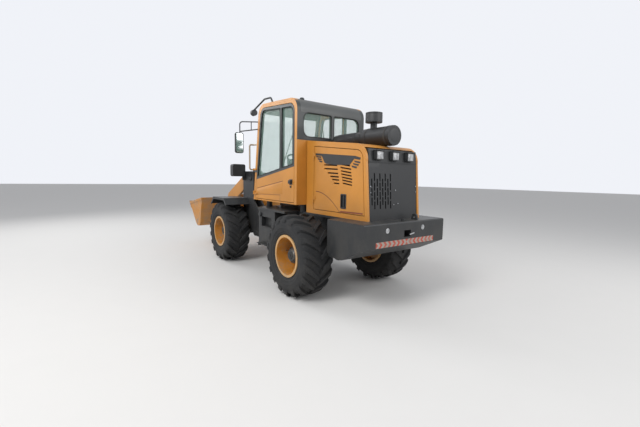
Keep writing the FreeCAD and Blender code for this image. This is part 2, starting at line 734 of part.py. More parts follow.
def powertrain():
    """The engine and gearbox as plain blocks, with their shafts."""
    engine_x = (f"{REAR} - 500", f"{REAR} + 180")
    engine = box("engine_block", engine_x, ("-engine_half", "engine_half"), ("rail_bottom + 150", "engine_top"))
    node(engine, "engine")
    gearbox_x = (f"{REAR} + 290", f"{PIVOT} - 530")
    gearbox = box("gearbox_block", gearbox_x, ("-gearbox_half", "gearbox_half"), ("660", "deck_bottom - 5"))
    bell = box("bell_housing", (f"{REAR} + 180", f"{REAR} + 300"), ("-170", "170"), ("rail_bottom + 160", "deck_bottom - 5"))
    stub = cylinder("stub_shaft", "X", ("0", "shaft_z"), "shaft_radius", f"{PIVOT} - 530", PIVOT)
    ball = add("Part::Sphere", "shaft_joint")
    bind(ball, "Radius", "shaft_radius + 8")
    move(ball, PIVOT, "0", "shaft_z")
    node(fuse("gearbox_solid", [gearbox, bell, stub, ball]), "gearbox")
    rear_shaft = cylinder("rear_shaft", "X", ("0", "tyre_radius"), "30", f"{REAR} + 275", f"{REAR} + 420")
    drop_x = (f"{REAR} + 420", f"{REAR} + 480")
    drop = box("rear_output", drop_x, ("-70", "70"), ("tyre_radius - 60", "660"))
    node(fuse("rear_shaft_solid", [rear_shaft, drop]), "rear_propshaft")


def cab_outline(inset):
    """The cab's side outline, moved inwards by an inset; roof corners are 1 and 2."""
    return [
        (f"{REAR} + cab_rear + {inset}", f"cab_floor + {inset}"),
        (f"{REAR} + cab_rear + {inset}", f"cab_roof_rear - {inset}"),
        (f"{REAR} + cab_front_top - {inset}", f"cab_roof_front - {inset}"),
        (f"{REAR} + cab_front_low - {inset}", f"cab_floor + {inset}"),
    ]


def door_outline(inset):
    """The side door's outline inside the arch, with the same slanted front post."""
    edge = f"(arch_width + {inset})"
    return [
        (f"{REAR} + cab_rear + {edge}", f"cab_floor + floor_plate / 2 + {inset}"),
        (f"{REAR} + cab_rear + {edge}", f"cab_roof_rear - {edge}"),
        (f"{REAR} + cab_front_top - {edge}", f"cab_roof_front - {edge}"),
        (f"{REAR} + cab_front_low - {edge}", f"cab_floor + floor_plate / 2 + {inset}"),
    ]


def side_window_cutters(name, y):
    """The two window openings of a side, rear one first."""
    border = "(arch_width + door_gap + 38)"
    slope = "((sill_front - sill_rear) / (cab_front_low - cab_rear))"
    front_post = "((cab_front_top - cab_front_low) / (cab_roof_front - cab_floor))"
    front_low = f"cab_front_low - {border} + {front_post} * (sill_front - cab_floor)"
    rear = prism(
        name + "_rear",
        "XZ",
        [
            (f"{REAR} + cab_rear + {border}", f"sill_rear + {slope} * {border}"),
            (f"{REAR} + cab_rear + {border}", f"cab_roof_rear - {border}"),
            (f"{REAR} + post_x", f"cab_roof_rear - {border} + 18"),
            (f"{REAR} + post_x", f"sill_rear + {slope} * (post_x - cab_rear)"),
        ],
        *y,
        rounds=[((1,), "90")],
    )
    post = "(post_x + post_width)"
    front = prism(
        name + "_front",
        "XZ",
        [
            (f"{REAR} + {post}", f"sill_rear + {slope} * ({post} - cab_rear)"),
            (f"{REAR} + {post}", f"cab_roof_rear - {border} + 22"),
            (f"{REAR} + cab_front_top - {border}", f"cab_roof_front - {border}"),
            (f"{REAR} + {front_low}", f"sill_rear + {slope} * ({front_low} - cab_rear)"),
        ],
        *y,
        rounds=[((2,), "90")],
    )
    return [rear, front]


def rear_window_cutters(name, x):
    """The two rear panes with large outer corners and a bar between them."""
    pieces = []
    for label, side in (("left", 1), ("right", -1)):
        near, far = f"{side} * rear_bar / 2", f"{side} * (roof_half - 40)"
        low, high = "rear_window_low", "(cab_roof_rear - rear_header)"
        outline = [(near, low), (far, low), (far, high), (near, high)]
        pieces.append(prism(f"{name}_{label}", "YZ", outline, *x, rounds=[((1, 2), "95"), ((0, 3), "22")]))
    return pieces


def cab_hinges(name, side):
    """Two hinges on the door's upright hinge line; side is cab or door."""
    parts = []
    lean = "((cab_front_top - cab_front_low) / (cab_roof_front - cab_floor))"
    for number, level in enumerate(("cab_floor + 85", "cab_floor + 455")):
        low = level if side == "door" else f"{level} + 31"
        high = f"{low} + 30"
        post = f"(cab_front_low + {lean} * ({level} - cab_floor))"
        at = (f"{REAR} + door_hinge_x", "door_hinge_y")
        parts.append(cylinder(f"{name}_knuckle{number}", "Z", at, "11", low, high))
        reach = (f"{REAR} + {post} - 125", f"{REAR} + door_hinge_x") if side == "door" else (
            f"{REAR} + {post} - 50", f"{REAR} + door_hinge_x")
        parts.append(box(f"{name}_arm{number}", reach, ("cab_half + 5", "cab_half + 13"), (low, high)))
        pad = (reach[0], f"{REAR} + {post} - 78") if side == "door" else (reach[0], f"{REAR} + {post} - 12")
        parts.append(box(f"{name}_pad{number}", pad, ("cab_half", "cab_half + 13"), (low, high)))
        if side == "cab":
            parts.append(cylinder(f"{name}_pin{number}", "Z", at, "5", f"{level} + 4", f"{level} + 40"))
    return parts


def cab():
    """The cab shell with its arches, the roof panel and the floor."""
    outer = prism("cab_outer", "XZ", cab_outline("0"), "-cab_half", "cab_half", rounds=[((1, 2), "cab_corner")])
    inner_y = ("-(cab_half - cab_wall)", "cab_half - cab_wall")
    inner = prism("cab_inner", "XZ", cab_outline("cab_wall"), *inner_y, rounds=[((1, 2), "cab_corner - cab_wall")])
    shell = cut("cab_shell", outer, inner)
    left_y = ("cab_half - cab_wall - 20", "cab_half + 20")
    right_y = ("-cab_half - 20", "-(cab_half - cab_wall) + 20")
    openings = [
        prism("door_opening", "XZ", door_outline("0"), *left_y, rounds=[((1, 2), "cab_corner - arch_width + 20")]),
        box(
            "front_window_cut",
            (f"{REAR} + cab_front_top - 120", f"{REAR} + cab_front_low + 20"),
            ("-roof_half + 10", "roof_half - 10"),
            ("front_window_low", "(cab_roof_front - front_header)"),
        ),
    ]
    openings += side_window_cutters("right_window", right_y)
    openings += rear_window_cutters("rear_window", (f"{REAR} + cab_rear - 20", f"{REAR} + cab_rear + cab_wall + 20"))
    walls = cut("cab_walls", shell, fuse("cab_openings", openings))
    roof_zone = prism(
        "roof_zone",
        "XZ",
        [
            (f"{REAR} + cab_rear - 50", "(cab_roof_rear - rear_header)"),
            (f"{REAR} + cab_rear + 350", "(cab_roof_rear - rear_header)"),
            (f"{REAR} + cab_rear + 450", "(cab_roof_front - front_header) + 20"),
            (f"{REAR} + cab_front_low", "(cab_roof_front - front_header) + 20"),
            (f"{REAR} + cab_front_low", "cab_roof_front + 50"),
            (f"{REAR} + cab_rear - 50", "cab_roof_front + 50"),
        ],
        "-roof_half",
        "roof_half",
    )
    posts = cut("cab_posts", walls, roof_zone)
    node(fuse("cab_frame_solid", [posts] + cab_hinges("cab_hinge", "cab")), "cab_frame")
    node(common("cab_roof_solid", walls, roof_zone), "cab_roof")


def cab_glass():
    """The fixed panes: windscreen, rear window and the two right side windows."""
    mid = "cab_wall / 2"
    rear_x = (f"{REAR} + cab_rear + {mid} - glass / 2", f"{REAR} + cab_rear + {mid} + glass / 2")
    rear = rear_window_cutters("rear_pane", rear_x)
    lean = "((cab_front_low - cab_front_top) / (cab_roof_front - cab_floor))"
    low_x = f"{REAR} + cab_front_low - {lean} * (front_window_low - cab_floor) - {mid}"
    high_x = f"{REAR} + cab_front_low - {lean} * ((cab_roof_front - front_header) - cab_floor) - {mid}"
    front = prism(
        "windscreen",
        "XZ",
        [
            (f"{low_x} - glass / 2", "front_window_low"),
            (f"{high_x} - glass / 2", "(cab_roof_front - front_header)"),
            (f"{high_x} + glass / 2", "(cab_roof_front - front_header)"),
            (f"{low_x} + glass / 2", "front_window_low"),
        ],
        "-roof_half + 10",
        "roof_half - 10",
    )
    y = (f"-(cab_half - {mid}) - glass / 2", f"-(cab_half - {mid}) + glass / 2")
    side = side_window_cutters("right_pane", y)
    node(group("cab_glass_solid", rear + [front] + side), "cab_glass")


def cab_door():
    """The left door between floor and arch, as thick as the wall, with its panes."""
    y = ("cab_half - cab_wall", "cab_half")
    leaf = prism(
        "door_leaf", "XZ", door_outline("door_gap"), *y, rounds=[((1, 2), "cab_corner - arch_width + 20 - door_gap")]
    )
    cutters = side_window_cutters("door_window", ("cab_half - cab_wall - 20", "cab_half + 20"))
    open_leaf = cut("door_open_leaf", leaf, fuse("door_windows", cutters))
    grip_x = (f"{REAR} + cab_rear + arch_width + 60", f"{REAR} + cab_rear + arch_width + 110")
    grip = box("door_grip", grip_x, ("cab_half", "cab_half + 35"), ("1455", "1500"))
    door = fuse("door_with_hinges", [open_leaf, grip] + cab_hinges("door_hinge", "door"))
    at = (f"{REAR} + door_hinge_x", "door_hinge_y")
    bore = cylinder("door_hinge_bore", "Z", at, "5 + running_gap / 3", "1200", "1700")
    node(cut("cab_door_solid", door, bore), "cab_door")
    mid = "(cab_half - cab_wall / 2)"
    panes = side_window_cutters("door_pane", (f"{mid} - glass / 2", f"{mid} + glass / 2"))
    node(group("door_glass_solid", panes), "door_glass")


def cab_inside():
    """Seat, steering column with its wheel, and the console beside it."""
    floor = "cab_floor + cab_wall"
    base_x = (f"{REAR} + 560", f"{REAR} + 900")
    base = box("seat_base", base_x, ("-180", "180"), (floor, f"{floor} + 300"))
    node(base, "seat_pedestal")
    cushion = prism(
        "seat_shape",
        "XZ",
        [
            (f"{REAR} + 480", f"{floor} + 300"),
            (f"{REAR} + 980", f"{floor} + 300"),
            (f"{REAR} + 990", f"{floor} + 400"),
            (f"{REAR} + 600", f"{floor} + 410"),
            (f"{REAR} + 510", f"{floor} + 900"),
            (f"{REAR} + 400", f"{floor} + 880"),
        ],
        "-240",
        "240",
        rounds=[((2, 4, 5), "45")],
    )
    node(cushion, "seat")
    column = prism(
        "column_shape",
        "XZ",
        [
            (f"{REAR} + 1260", floor),
            (f"{REAR} + 1460", floor),
            (f"{REAR} + 1400", f"{floor} + 480"),
            (f"{REAR} + 1175", f"{floor} + 632"),
            (f"{REAR} + 1158", f"{floor} + 604"),
            (f"{REAR} + 1330", f"{floor} + 440"),
        ],
        "-90",
        "90",
    )
    ring = add("Part::Torus", "steering_ring")
    for prop, size in (("Radius1", "ring_radius"), ("Radius2", "ring_bar")):
        bind(ring, prop, size)
    move(ring, f"{REAR} + 1165", "0", f"{floor} + 620", "Y", "-32")
    spoke = cylinder("steering_spoke", "Y", ("0", "0"), "12", "-ring_radius", "ring_radius")
    move(spoke, f"{REAR} + 1165", "-ring_radius", f"{floor} + 620")
    console = box("side_console", (f"{REAR} + 480", f"{REAR} + 980"), ("-520", "-300"), (floor, f"{floor} + 460"))
    node(group("cab_controls_solid", [fuse("column_and_wheel", [column, ring, spoke]), console]), "cab_controls")


def hood_outline(inset):
    """The hood's side outline; corner 2 is the rear top corner."""
    return [
        (f"{REAR} + hood_rear + {inset}", f"deck_bottom + deck_plate + {inset}"),
        (f"{REAR} + hood_rear_top + {inset}", "hood_top_rear - hood_corner"),
        (f"{REAR} + hood_rear_top + {inset}", f"hood_top_rear - {inset}"),
        (f"{REAR} + cab_rear - 10 - {inset}", f"hood_top_front - {inset}"),
        (f"{REAR} + cab_rear - 10 - {inset}", f"deck_bottom + deck_plate + {inset}"),
    ]


def engine_door_outline(inset):
    edge = f"(55 + {inset})"
    return [
        (f"{REAR} + hood_rear + {edge}", f"deck_bottom + deck_plate + {edge}"),
        (f"{REAR} + hood_rear_top + {edge}", f"hood_top_rear - {edge} - 6"),
        (f"{REAR} + 70 - {inset}", f"hood_top_front - {edge} - 30"),
        (f"{REAR} + 70 - {inset}", f"deck_bottom + deck_plate + {edge}"),
    ]


def door_louvres():
    """Two banks of slanted air slots; each row is (front end, rear end) ahead of the rear axle and its height."""
    banks = [
        (0.045, [(-155, -411, 1750), (-156, -422, 1704), (-158, -436, 1656), (-233, -445, 1603), (-287, -458, 1560),
                 (-329, -467, 1521), (-360, -473, 1477)]),
        (0.13, [(-468, -665, 1700), (-481, -684, 1660), (-492, -687, 1618), (-503, -695, 1580), (-514, -706, 1542),
                (-524, -707, 1507), (-535, -708, 1471)]),
    ]
    slots = []
    half = "louvre_height / 2"
    for bank, (lean, rows) in enumerate(banks):
        for row, (front, back, z) in enumerate(rows):
            drop = lean * (front - back) / 2
            outline = [
                (f"{REAR} + {front}", f"{z} + {drop} + {half}"),
                (f"{REAR} + {back}", f"{z} - {drop} + {half}"),
                (f"{REAR} + {back}", f"{z} - {drop} - {half}"),
                (f"{REAR} + {front}", f"{z} + {drop} - {half}"),
            ]
            slots.append(prism(f"louvre{bank}_{row}", "XZ", outline, "hood_half - hood_skin - 10", "hood_half + 10"))
    return slots


def engine_hinges(name, side, low):
    """Knuckles on the engine door's hinge line, each 45 high; side is hood or door."""
    knuckles = []
    for number, level in enumerate(("1200", "1780")):
        foot = f"{level} + {low}"
        top = f"{foot} + 45"
        at = (f"{REAR} + 66", "hood_half + engine_hinge_out")
        knuckles.append(cylinder(f"{name}_knuckle{number}", "Z", at, "8", foot, top))
        x = (f"{REAR} + 66", f"{REAR} + 100") if side == "hood" else (f"{REAR} + 30", f"{REAR} + 62")
        knuckles.append(box(f"{name}_strap{number}", x, ("hood_half", "hood_half + 10"), (foot, top)))
        if side == "hood":
            knuckles.append(cylinder(f"{name}_pin{number}", "Z", at, "4", f"{foot} + 5", f"{foot} + 86"))
    return knuckles


def hood():
    """The engine hood: two sides and a top, open to the rear for the radiator guard."""
    outer = prism("hood_outer", "XZ", hood_outline("0"), "-hood_half", "hood_half", rounds=[((2,), "hood_corner")])
    hollow = prism(
        "hood_hollow",
        "XZ",
        [
            (f"{REAR} + hood_rear - 50", "deck_bottom + deck_plate - 50"),
            (f"{REAR} + hood_rear - 50", "hood_top_rear - hood_skin - 10"),
            (f"{REAR} + hood_rear_top + 160", "hood_top_rear - hood_skin + 10"),
            (f"{REAR} + cab_rear - 10 - hood_skin", "hood_top_front - hood_skin"),
            (f"{REAR} + cab_rear - 10 - hood_skin", "deck_bottom + deck_plate - 50"),
        ],
        "-hood_half + hood_skin",
        "hood_half - hood_skin",
    )
    shell = cut("hood_shell", outer, hollow)
    left = prism(
        "engine_door_cut", "XZ", engine_door_outline("0"), "hood_half - hood_skin - 20", "hood_half + 20", rounds=[((1,), "120")]
    )
    trough = [
        cylinder("trough_drum", "X", ("0", "cleaner_z"), "cleaner_radius + running_gap", f"{REAR} - 1000", f"{REAR} - 440"),
        cylinder("trough_duct", "X", ("0", "cleaner_z"), "duct_radius + 10", f"{REAR} - 450", f"{REAR} + 215"),
    ]
    openings = fuse("hood_openings", [left, mirrored("engine_door_cut_right", left)] + trough)
    hinges = fuse("hood_hinges", engine_hinges("hood_hinge", "hood", "0"))
    body = cut("hood_body", shell, openings)
    node(fuse("hood_solid", [body, hinges, mirrored("hood_hinges_right", hinges)]), "hood")
    leaf = prism(
        "engine_door",
        "XZ",
        engine_door_outline("door_gap"),
        "hood_half - hood_skin",
        "hood_half",
        rounds=[((1,), "120 - door_gap")],
    )
    pocket = prism(
        "pull_pocket",
        "XZ",
        [
            (f"{REAR} + pull_x - 42", "pull_z - 78"),
            (f"{REAR} + pull_x + 42", "pull_z - 78"),
            (f"{REAR} + pull_x + 42", "pull_z + 78"),
            (f"{REAR} + pull_x - 42", "pull_z + 78"),
        ],
        "hood_half - 16",
        "hood_half + 10",
        rounds=[((0, 1, 2, 3), "16")],
    )
    grip = cylinder("pull_grip", "Z", (f"{REAR} + pull_x", "hood_half - 8"), "6", "pull_z - 80", "pull_z + 80")
    vented = cut("engine_door_vented", leaf, fuse("engine_door_openings", door_louvres() + [pocket]))
    whole = fuse("engine_door_whole", [vented, grip] + engine_hinges("engine_door_hinge", "door", "46"))
    at = (f"{REAR} + 66", "hood_half + engine_hinge_out")
    bore = cylinder("engine_hinge_bore", "Z", at, "4 + running_gap / 3", "1150", "1900")
    door = cut("engine_door_solid", whole, bore)
    node(door, "engine_door_left")
    node(mirrored("engine_door_twin", door), "engine_door_right")


def radiator_guard():
    """The black guard between the hood sides with its staggered slots, and the work lamps under their brows."""
    front = prism(
        "guard_wall",
        "XZ",
        [
            (f"{REAR} + hood_rear + 10", "deck_bottom + deck_plate"),
            (f"{REAR} + hood_rear_top + 10", "guard_top"),
            (f"{REAR} + hood_rear_top + 10 + guard_plate", "guard_top"),
            (f"{REAR} + hood_rear + 10 + guard_plate", "deck_bottom + deck_plate"),
        ],
        "-guard_half",
        "guard_half",
    )
    shelf = box(
        "guard_shelf",
        (f"{REAR} + hood_rear_top + 12", f"{REAR} + hood_rear_top + 150"),
        ("-guard_half", "guard_half"),
        ("guard_top - 14", "guard_top"),
    )
    wall_x = (f"{REAR} + hood_rear - 20", f"{REAR} + hood_rear_top + 60")
    slots = []
    for column in range(8):
        y = f"50 + slot_pitch * {column}"
        for row in range(4 - column % 2):
            z = f"1195 + slot_height / 2 * {column % 2} + (slot_height + 16) * {row}"
            slots.append(box(f"guard_slot{column}_{row}", wall_x, (y, f"{y} + slot_width"), (z, f"{z} + slot_height")))
    open_wall = cut("guard_open", front, fuse("guard_slots", slots))
    ledge = box(
        "guard_ledge",
        (f"{REAR} + hood_rear_top - 4", f"{REAR} + hood_rear_top + 20"),
        ("-guard_half", "guard_half"),
        ("guard_top - 158", "guard_top - 142"),
    )
    node(fuse("radiator_guard_solid", [open_wall, shelf, ledge]), "radiator_guard")
    lamps = []
    for number, y in enumerate(("265", "0", "-265")):
        x = (f"{REAR} + hood_rear_top - 40", f"{REAR} + hood_rear_top + 10")
        outline = [
            (f"{y} - 62", "guard_top - 125"),
            (f"{y} + 62", "guard_top - 125"),
            (f"{y} + 62", "guard_top - 18"),
            (f"{y} - 62", "guard_top - 18"),
        ]
        shell = prism(f"rear_lamp{number}", "YZ", outline, *x, rounds=[((0, 1, 2, 3), "14")])
        bowl_y = (f"{y} - 52", f"{y} + 52")
        bowl = box(f"rear_lamp_bowl{number}", (f"{x[0]} - 5", f"{x[0]} + 8"), bowl_y, ("guard_top - 115", "guard_top - 28"))
        brow = box(f"rear_lamp_brow{number}", (f"{x[0]} - 14", x[1]), (f"{y} - 66", f"{y} + 66"), ("guard_top - 22", "guard_top - 14"))
        lamp = fuse(f"rear_lamp_whole{number}", [cut(f"rear_lamp_open{number}", shell, bowl), brow])
        lamps.append(cut(f"rear_lamp_trim{number}", lamp, front))
    node(group("rear_lamps_solid", lamps), "rear_lamps")


def air_cleaner():
    """The air cleaner drum along the hood, its intake duct and the pre-cleaner."""
    at = ("0", "cleaner_z")
    drum = cylinder("cleaner_drum", "X", at, "cleaner_radius", f"{REAR} - 930", f"{REAR} - 450")
    duct = cylinder("cleaner_duct", "X", at, "duct_radius", f"{REAR} - 450", f"{REAR} + 140")
    taper = cylinder("cleaner_nozzle", "X", at, "55", f"{REAR} + 140", f"{REAR} + 205")
    neck = cylinder("cleaner_neck", "Z", (f"{REAR} - 580", "0"), "42", "cleaner_z", "cleaner_z + 185")
    cap = cylinder("cleaner_cap", "Z", (f"{REAR} - 580", "0"), "105", "cleaner_z + 185", "cleaner_z + 305")
    node(fuse("air_cleaner_solid", [drum, duct, taper, neck, cap]), "air_cleaner")


def tanks():
    """Fuel tank on the left and oil tank on the right, each with a recessed step and one hung below it."""
    x = (f"{REAR} + 720", f"{PIVOT} + 50")
    block = prism(
        "tank_block",
        "YZ",
        [("tank_inner", "tank_low"), ("tank_outer", "tank_low"), ("tank_outer", "deck_bottom"), ("tank_inner", "deck_bottom")],
        *x,
        rounds=[((0, 1), "tank_corner")],
    )
    middle = f"(({x[0]} + {x[1]}) / 2)"
    recess = box(
        "step_recess",
        (f"{middle} - step_length / 2 - 15", f"{middle} + step_length / 2 + 15"),
        ("tank_outer - step_depth", "tank_outer + 5"),
        ("step_high - 12", "step_high + 150"),
    )
    steps = []
    for name, top, inner in (("high", "step_high", "tank_outer - step_depth"), ("low", "step_low", "step_half + 2")):
        span = (f"{middle} - step_length / 2", f"{middle} + step_length / 2")
        steps.append(box(f"step_plate_{name}", span, (inner, f"{inner} + step_depth + 8"), (f"{top} - 10", top)))
    for side in (1, -1):
        at = sorted((f"{middle} + {side} * (step_length / 2 - 8)", f"{middle} + {side} * (step_length / 2)"), key=value)
        steps.append(box(f"step_arm{side}", tuple(at), ("tank_outer - 5", "step_half + 60"), ("step_low - 50", "step_low - 5")))
    left = fuse("tank_left", [cut("tank_open", block, recess)] + steps)
    node(both_sides("tanks_solid", left), "tanks")


def handrails():
    """Bent tube grab rails at the front posts, welded to the front wall."""
    x, y, foot = f"{REAR} + cab_front_low + 40", "cab_half + 50", "cab_half - 36"
    ends = [(f"{REAR} + cab_front_low - {FRONT_LEAN} * ({z} - cab_floor) - 20", foot, z) for z in ("rail_high", "rail_low")]
    points = [ends[0], (x, foot, "rail_high"), (x, y, "rail_high"), (x, y, "rail_low"), (x, foot, "rail_low"), ends[1]]
    bar = bent_tube("rail_bar", points, "rail_tube", "30")
    left = cut("rail_left", bar, doc.getObject("cab_outer"))
    node(both_sides("handrails_solid", left), "handrails")


def front_wall(z):
    """The front wall's outer face at a height, ahead of the rear axle."""
    return f"{REAR} + cab_front_low - {FRONT_LEAN} * (({z}) - cab_floor)"


def mirrors():
    """Rear view mirrors on bent tubes that lean out from the front posts."""
    out_x, foot = f"{REAR} + cab_front_low", "cab_half - 36"
    top, mid = "(cab_roof_front - 265)", "(cab_roof_front - 375)"
    main = bent_tube(
        "mirror_main",
        [
            (f"{front_wall(top)} - 20", foot, top),
            (out_x, "mirror_out_y", top),
            (out_x, "mirror_out_y", "cab_roof_front - 740"),
        ],
        "mirror_tube",
        "45",
    )
    stay_start = (f"{front_wall(mid)} - 20", foot, mid)
    stay = bent_tube("mirror_stay", [stay_start, (out_x, "mirror_out_y", f"{mid} - 45")], "mirror_tube", "1")
    share = "0.45"
    at = (
        f"({front_wall(top)} - 20) * (1 - {share}) + ({out_x}) * {share}",
        f"({foot}) * (1 - {share}) + mirror_out_y * {share}",
    )
    upright = cylinder("mirror_upright", "Z", at, "mirror_tube - 2", f"{mid} - 25", top)
    plates = []
    for name, level in (("top", top), ("mid", mid)):
        x = (f"{front_wall(level)} - 12", f"{front_wall(level)} + 6")
        plates.append(box(f"mirror_foot_{name}", x, (f"{foot} - 22", f"{foot} + 22"), (f"{level} - 24", f"{level} + 24")))
    head = prism(
        "mirror_head",
        "YZ",
        [
            ("mirror_out_y - 50", "cab_roof_front - 770"),
            ("mirror_out_y + 90", "cab_roof_front - 770"),
            ("mirror_out_y + 90", "cab_roof_front - 440"),
            ("mirror_out_y - 50", "cab_roof_front - 440"),
        ],
        f"{out_x} - 30",
        out_x,
        rounds=[((0, 1, 2, 3), "34")],
    )
    whole = fuse("mirror_left_whole", [main, stay, upright, head] + plates)
    node(both_sides("mirrors_solid", cut("mirror_left", whole, doc.getObject("cab_outer"))), "mirrors")


def roof_lamp():
    """A work lamp on a bent tube over the roof's left front corner."""
    x, z, y = f"{REAR} + cab_front_top", "cab_roof_front", "rack_y"
    tube = bent_tube(
        "rack_tube",
        [
            (f"{x} - 300", y, f"{z} - 40"),
            (f"{x} - 200", y, f"{z} + rack_rise - 12"),
            (f"{x} + 10", y, f"{z} + rack_rise"),
            (f"{x} + rack_reach", y, f"{z} - 10"),
        ],
        "rack_radius",
        "60",
    )
    shell = cylinder("rack_lamp_shell", "X", (y, f"{z} - 55"), "52", f"{x} + rack_reach - 22", f"{x} + rack_reach + 45")
    bowl = cylinder("rack_lamp_bowl", "X", (y, f"{z} - 55"), "46", f"{x} + rack_reach + 37", f"{x} + rack_reach + 46")
    lug = box(
        "rack_lamp_lug",
        (f"{x} + rack_reach - 16", f"{x} + rack_reach + 8"),
        (f"{y} - 8", f"{y} + 8"),
        (f"{z} - 30", f"{z} + 2"),
    )
    lamp = fuse("roof_lamp_whole", [tube, cut("rack_lamp_open", shell, bowl), lug])
    node(cut("roof_lamp_solid", lamp, doc.getObject("cab_outer")), "roof_lamp")


def front_frame():
    """The front frame: bulkhead, side plates, tower with its pins and the pivot tongues."""
    plate = [
        (f"{PIVOT} + bulkhead", "front_frame_low"),
        (f"{FRONT} + front_frame_nose", "front_frame_low"),
        (f"{FRONT} + front_frame_nose", "front_frame_top - 120"),
        (f"{FRONT} + tower_front + 60", "front_frame_top"),
        (f"{FRONT} + tower_front", "tower_top - 60"),
        (f"{FRONT} + tower_front - 100", "tower_top"),
        (f"{FRONT} + tower_rear", "tower_top"),
        (f"{FRONT} + tower_rear", "1110"),
        (f"{FRONT} + tower_rear - 190", "front_frame_top"),
        (f"{PIVOT} + bulkhead", "front_frame_top"),
    ]
    boom_hole = (BOOM_X, "boom_pivot_z", "boom_pin")
    inner = prism("tower_inner", "XZ", plate, "front_half - front_plate", "front_half")
    outer = prism(
        "tower_outer_plate",
        "XZ",
        [
            (f"{FRONT} + tower_rear - 190", "500"),
            (f"{FRONT} + tower_rear - 20", "500"),
            (f"{FRONT} + tower_front", "900"),
            (f"{FRONT} + tower_front", "tower_top - 60"),
            (f"{FRONT} + tower_front - 100", "tower_top"),
            (f"{FRONT} + tower_rear", "tower_top"),
            (f"{FRONT} + tower_rear", "1110"),
            (f"{FRONT} + tower_rear - 190", "front_frame_top"),
        ],
        "tower_outer - front_plate",
        "tower_outer",
    )
    inner_ear = prism(
        "tower_inner_ear",
        "XZ",
        [
            (f"{FRONT} + tower_rear - 190", "500"),
            (f"{FRONT} + tower_rear - 20", "500"),
            (f"{FRONT} + tower_rear + 60", "front_frame_low + 5"),
            (f"{FRONT} + tower_rear - 190", "front_frame_low + 5"),
        ],
        "front_half - front_plate",
        "front_half",
    )
    web = box(
        "tower_web",
        (f"{FRONT} + tower_rear - 190", f"{FRONT} + tower_rear - 172"),
        ("front_half - front_plate", "tower_outer"),
        ("500", "front_frame_top"),
    )
    pins = [
        cylinder("boom_pin_left", "Y", (BOOM_X, "boom_pivot_z"), "boom_pin", "front_half - 10", "tower_outer + 8"),
        cylinder(
            "lift_pin_left",
            "Y",
            (f"{BOOM_X} + lift_base_dx", "boom_pivot_z + lift_base_dz"),
            "20",
            "front_half - 10",
            "tower_outer + 8",
        ),
    ]
    side = fuse("front_side", [inner, outer, inner_ear, web] + pins)
    parts = [side, mirrored("front_side_right", side)]
    inside = ("-(front_half - front_plate)", "front_half - front_plate")
    wall_x = (f"{PIVOT} + bulkhead", f"{PIVOT} + bulkhead + 30")
    wall = box("bulkhead_wall", wall_x, inside, ("hinge_lower", "front_frame_top"))
    opening = box("bulkhead_opening", wall_x, ("-75", "75"), ("shaft_z - 120", "shaft_z + 30"))
    parts.append(cut("bulkhead_open", wall, opening))
    tongue = [
        (f"{PIVOT} - hinge_radius", "-hinge_radius"),
        (f"{PIVOT}", "-hinge_radius"),
        (f"{PIVOT} + bulkhead + 30", "-210"),
        (f"{PIVOT} + bulkhead + 30", "210"),
        (f"{PIVOT}", "hinge_radius"),
        (f"{PIVOT} - hinge_radius", "hinge_radius"),
    ]
    for name, low in (("upper", "hinge_upper"), ("lower", "hinge_lower")):
        parts.append(
            prism(
                f"tongue_{name}",
                "XY",
                tongue,
                low,
                f"{low} + hinge_tongue",
                holes=[(PIVOT, "0", "pivot_pin + running_gap")],
                rounds=[((0, 5), "hinge_radius - 1")],
            )
        )
    for name, x, z in (("nose", f"{FRONT} + front_frame_nose - 60", "front_frame_top - 180"), ("mid", f"{FRONT} - 40", "front_frame_top - 60")):
        parts.append(cylinder(f"front_cross_{name}", "Y", (x, z), "38", *inside))
    at = (f"{BOOM_X} + tilt_base_dx", "boom_pivot_z + tilt_base_dz")
    lug_gap = "(tilt_radius + 6)"
    for side_sign in (1, -1):
        pair = (f"{side_sign} * {lug_gap}", f"{side_sign} * (front_half - front_plate)")
        low, high = sorted(pair, key=value)
        parts.append(cylinder(f"tower_tube{side_sign}", "Y", at, "52", low, high))
    parts.append(cylinder("tilt_pin", "Y", at, "22", f"-{lug_gap} - 10", f"{lug_gap} + 10"))
    for side_sign in (1, -1):
        y = tuple(sorted((f"{side_sign} * (steer_y - 30)", f"{side_sign} * (steer_y + 30)"), key=value))
        for level, low in (("top", "steer_z + 22"), ("foot", "steer_z - 42")):
            x = (f"{PIVOT} + steer_eye - 35", f"{PIVOT} + bulkhead")
            parts.append(box(f"front_ear_{level}{side_sign}", x, y, (low, f"{low} + 20")))
    node(fuse("front_frame_solid", parts), "front_frame")


def front_shaft():
    shaft = cylinder(
        "front_shaft", "X", ("0", "0"), "shaft_radius", "0", f"{FRONT} - 250 - ({PIVOT} + shaft_radius + 14)"
    )
    rise = "shaft_z - tyre_radius"
    run = f"({FRONT} - 250 - ({PIVOT} + shaft_radius + 14))"
    shaft.Placement = FreeCAD.Placement(FreeCAD.Vector(), FreeCAD.Rotation(AXES["Y"], 90))
    bind(shaft, "Height", f"sqrt(({rise})^2 + {run}^2) + 20")
    bind(shaft, "Placement.Rotation.Angle", f"90 deg + atan(({rise}) / {run})")
    for letter, expression in zip("xyz", (f"{PIVOT} + shaft_radius + 14", "0", "shaft_z")):
        bind(shaft, f"Placement.Base.{letter}", expression)
    keep = box("front_shaft_zone", (PIVOT, f"{FRONT} - 250"), ("-200", "200"), ("300", "1000"))
    node(common("front_shaft_solid", shaft, keep), "front_propshaft")


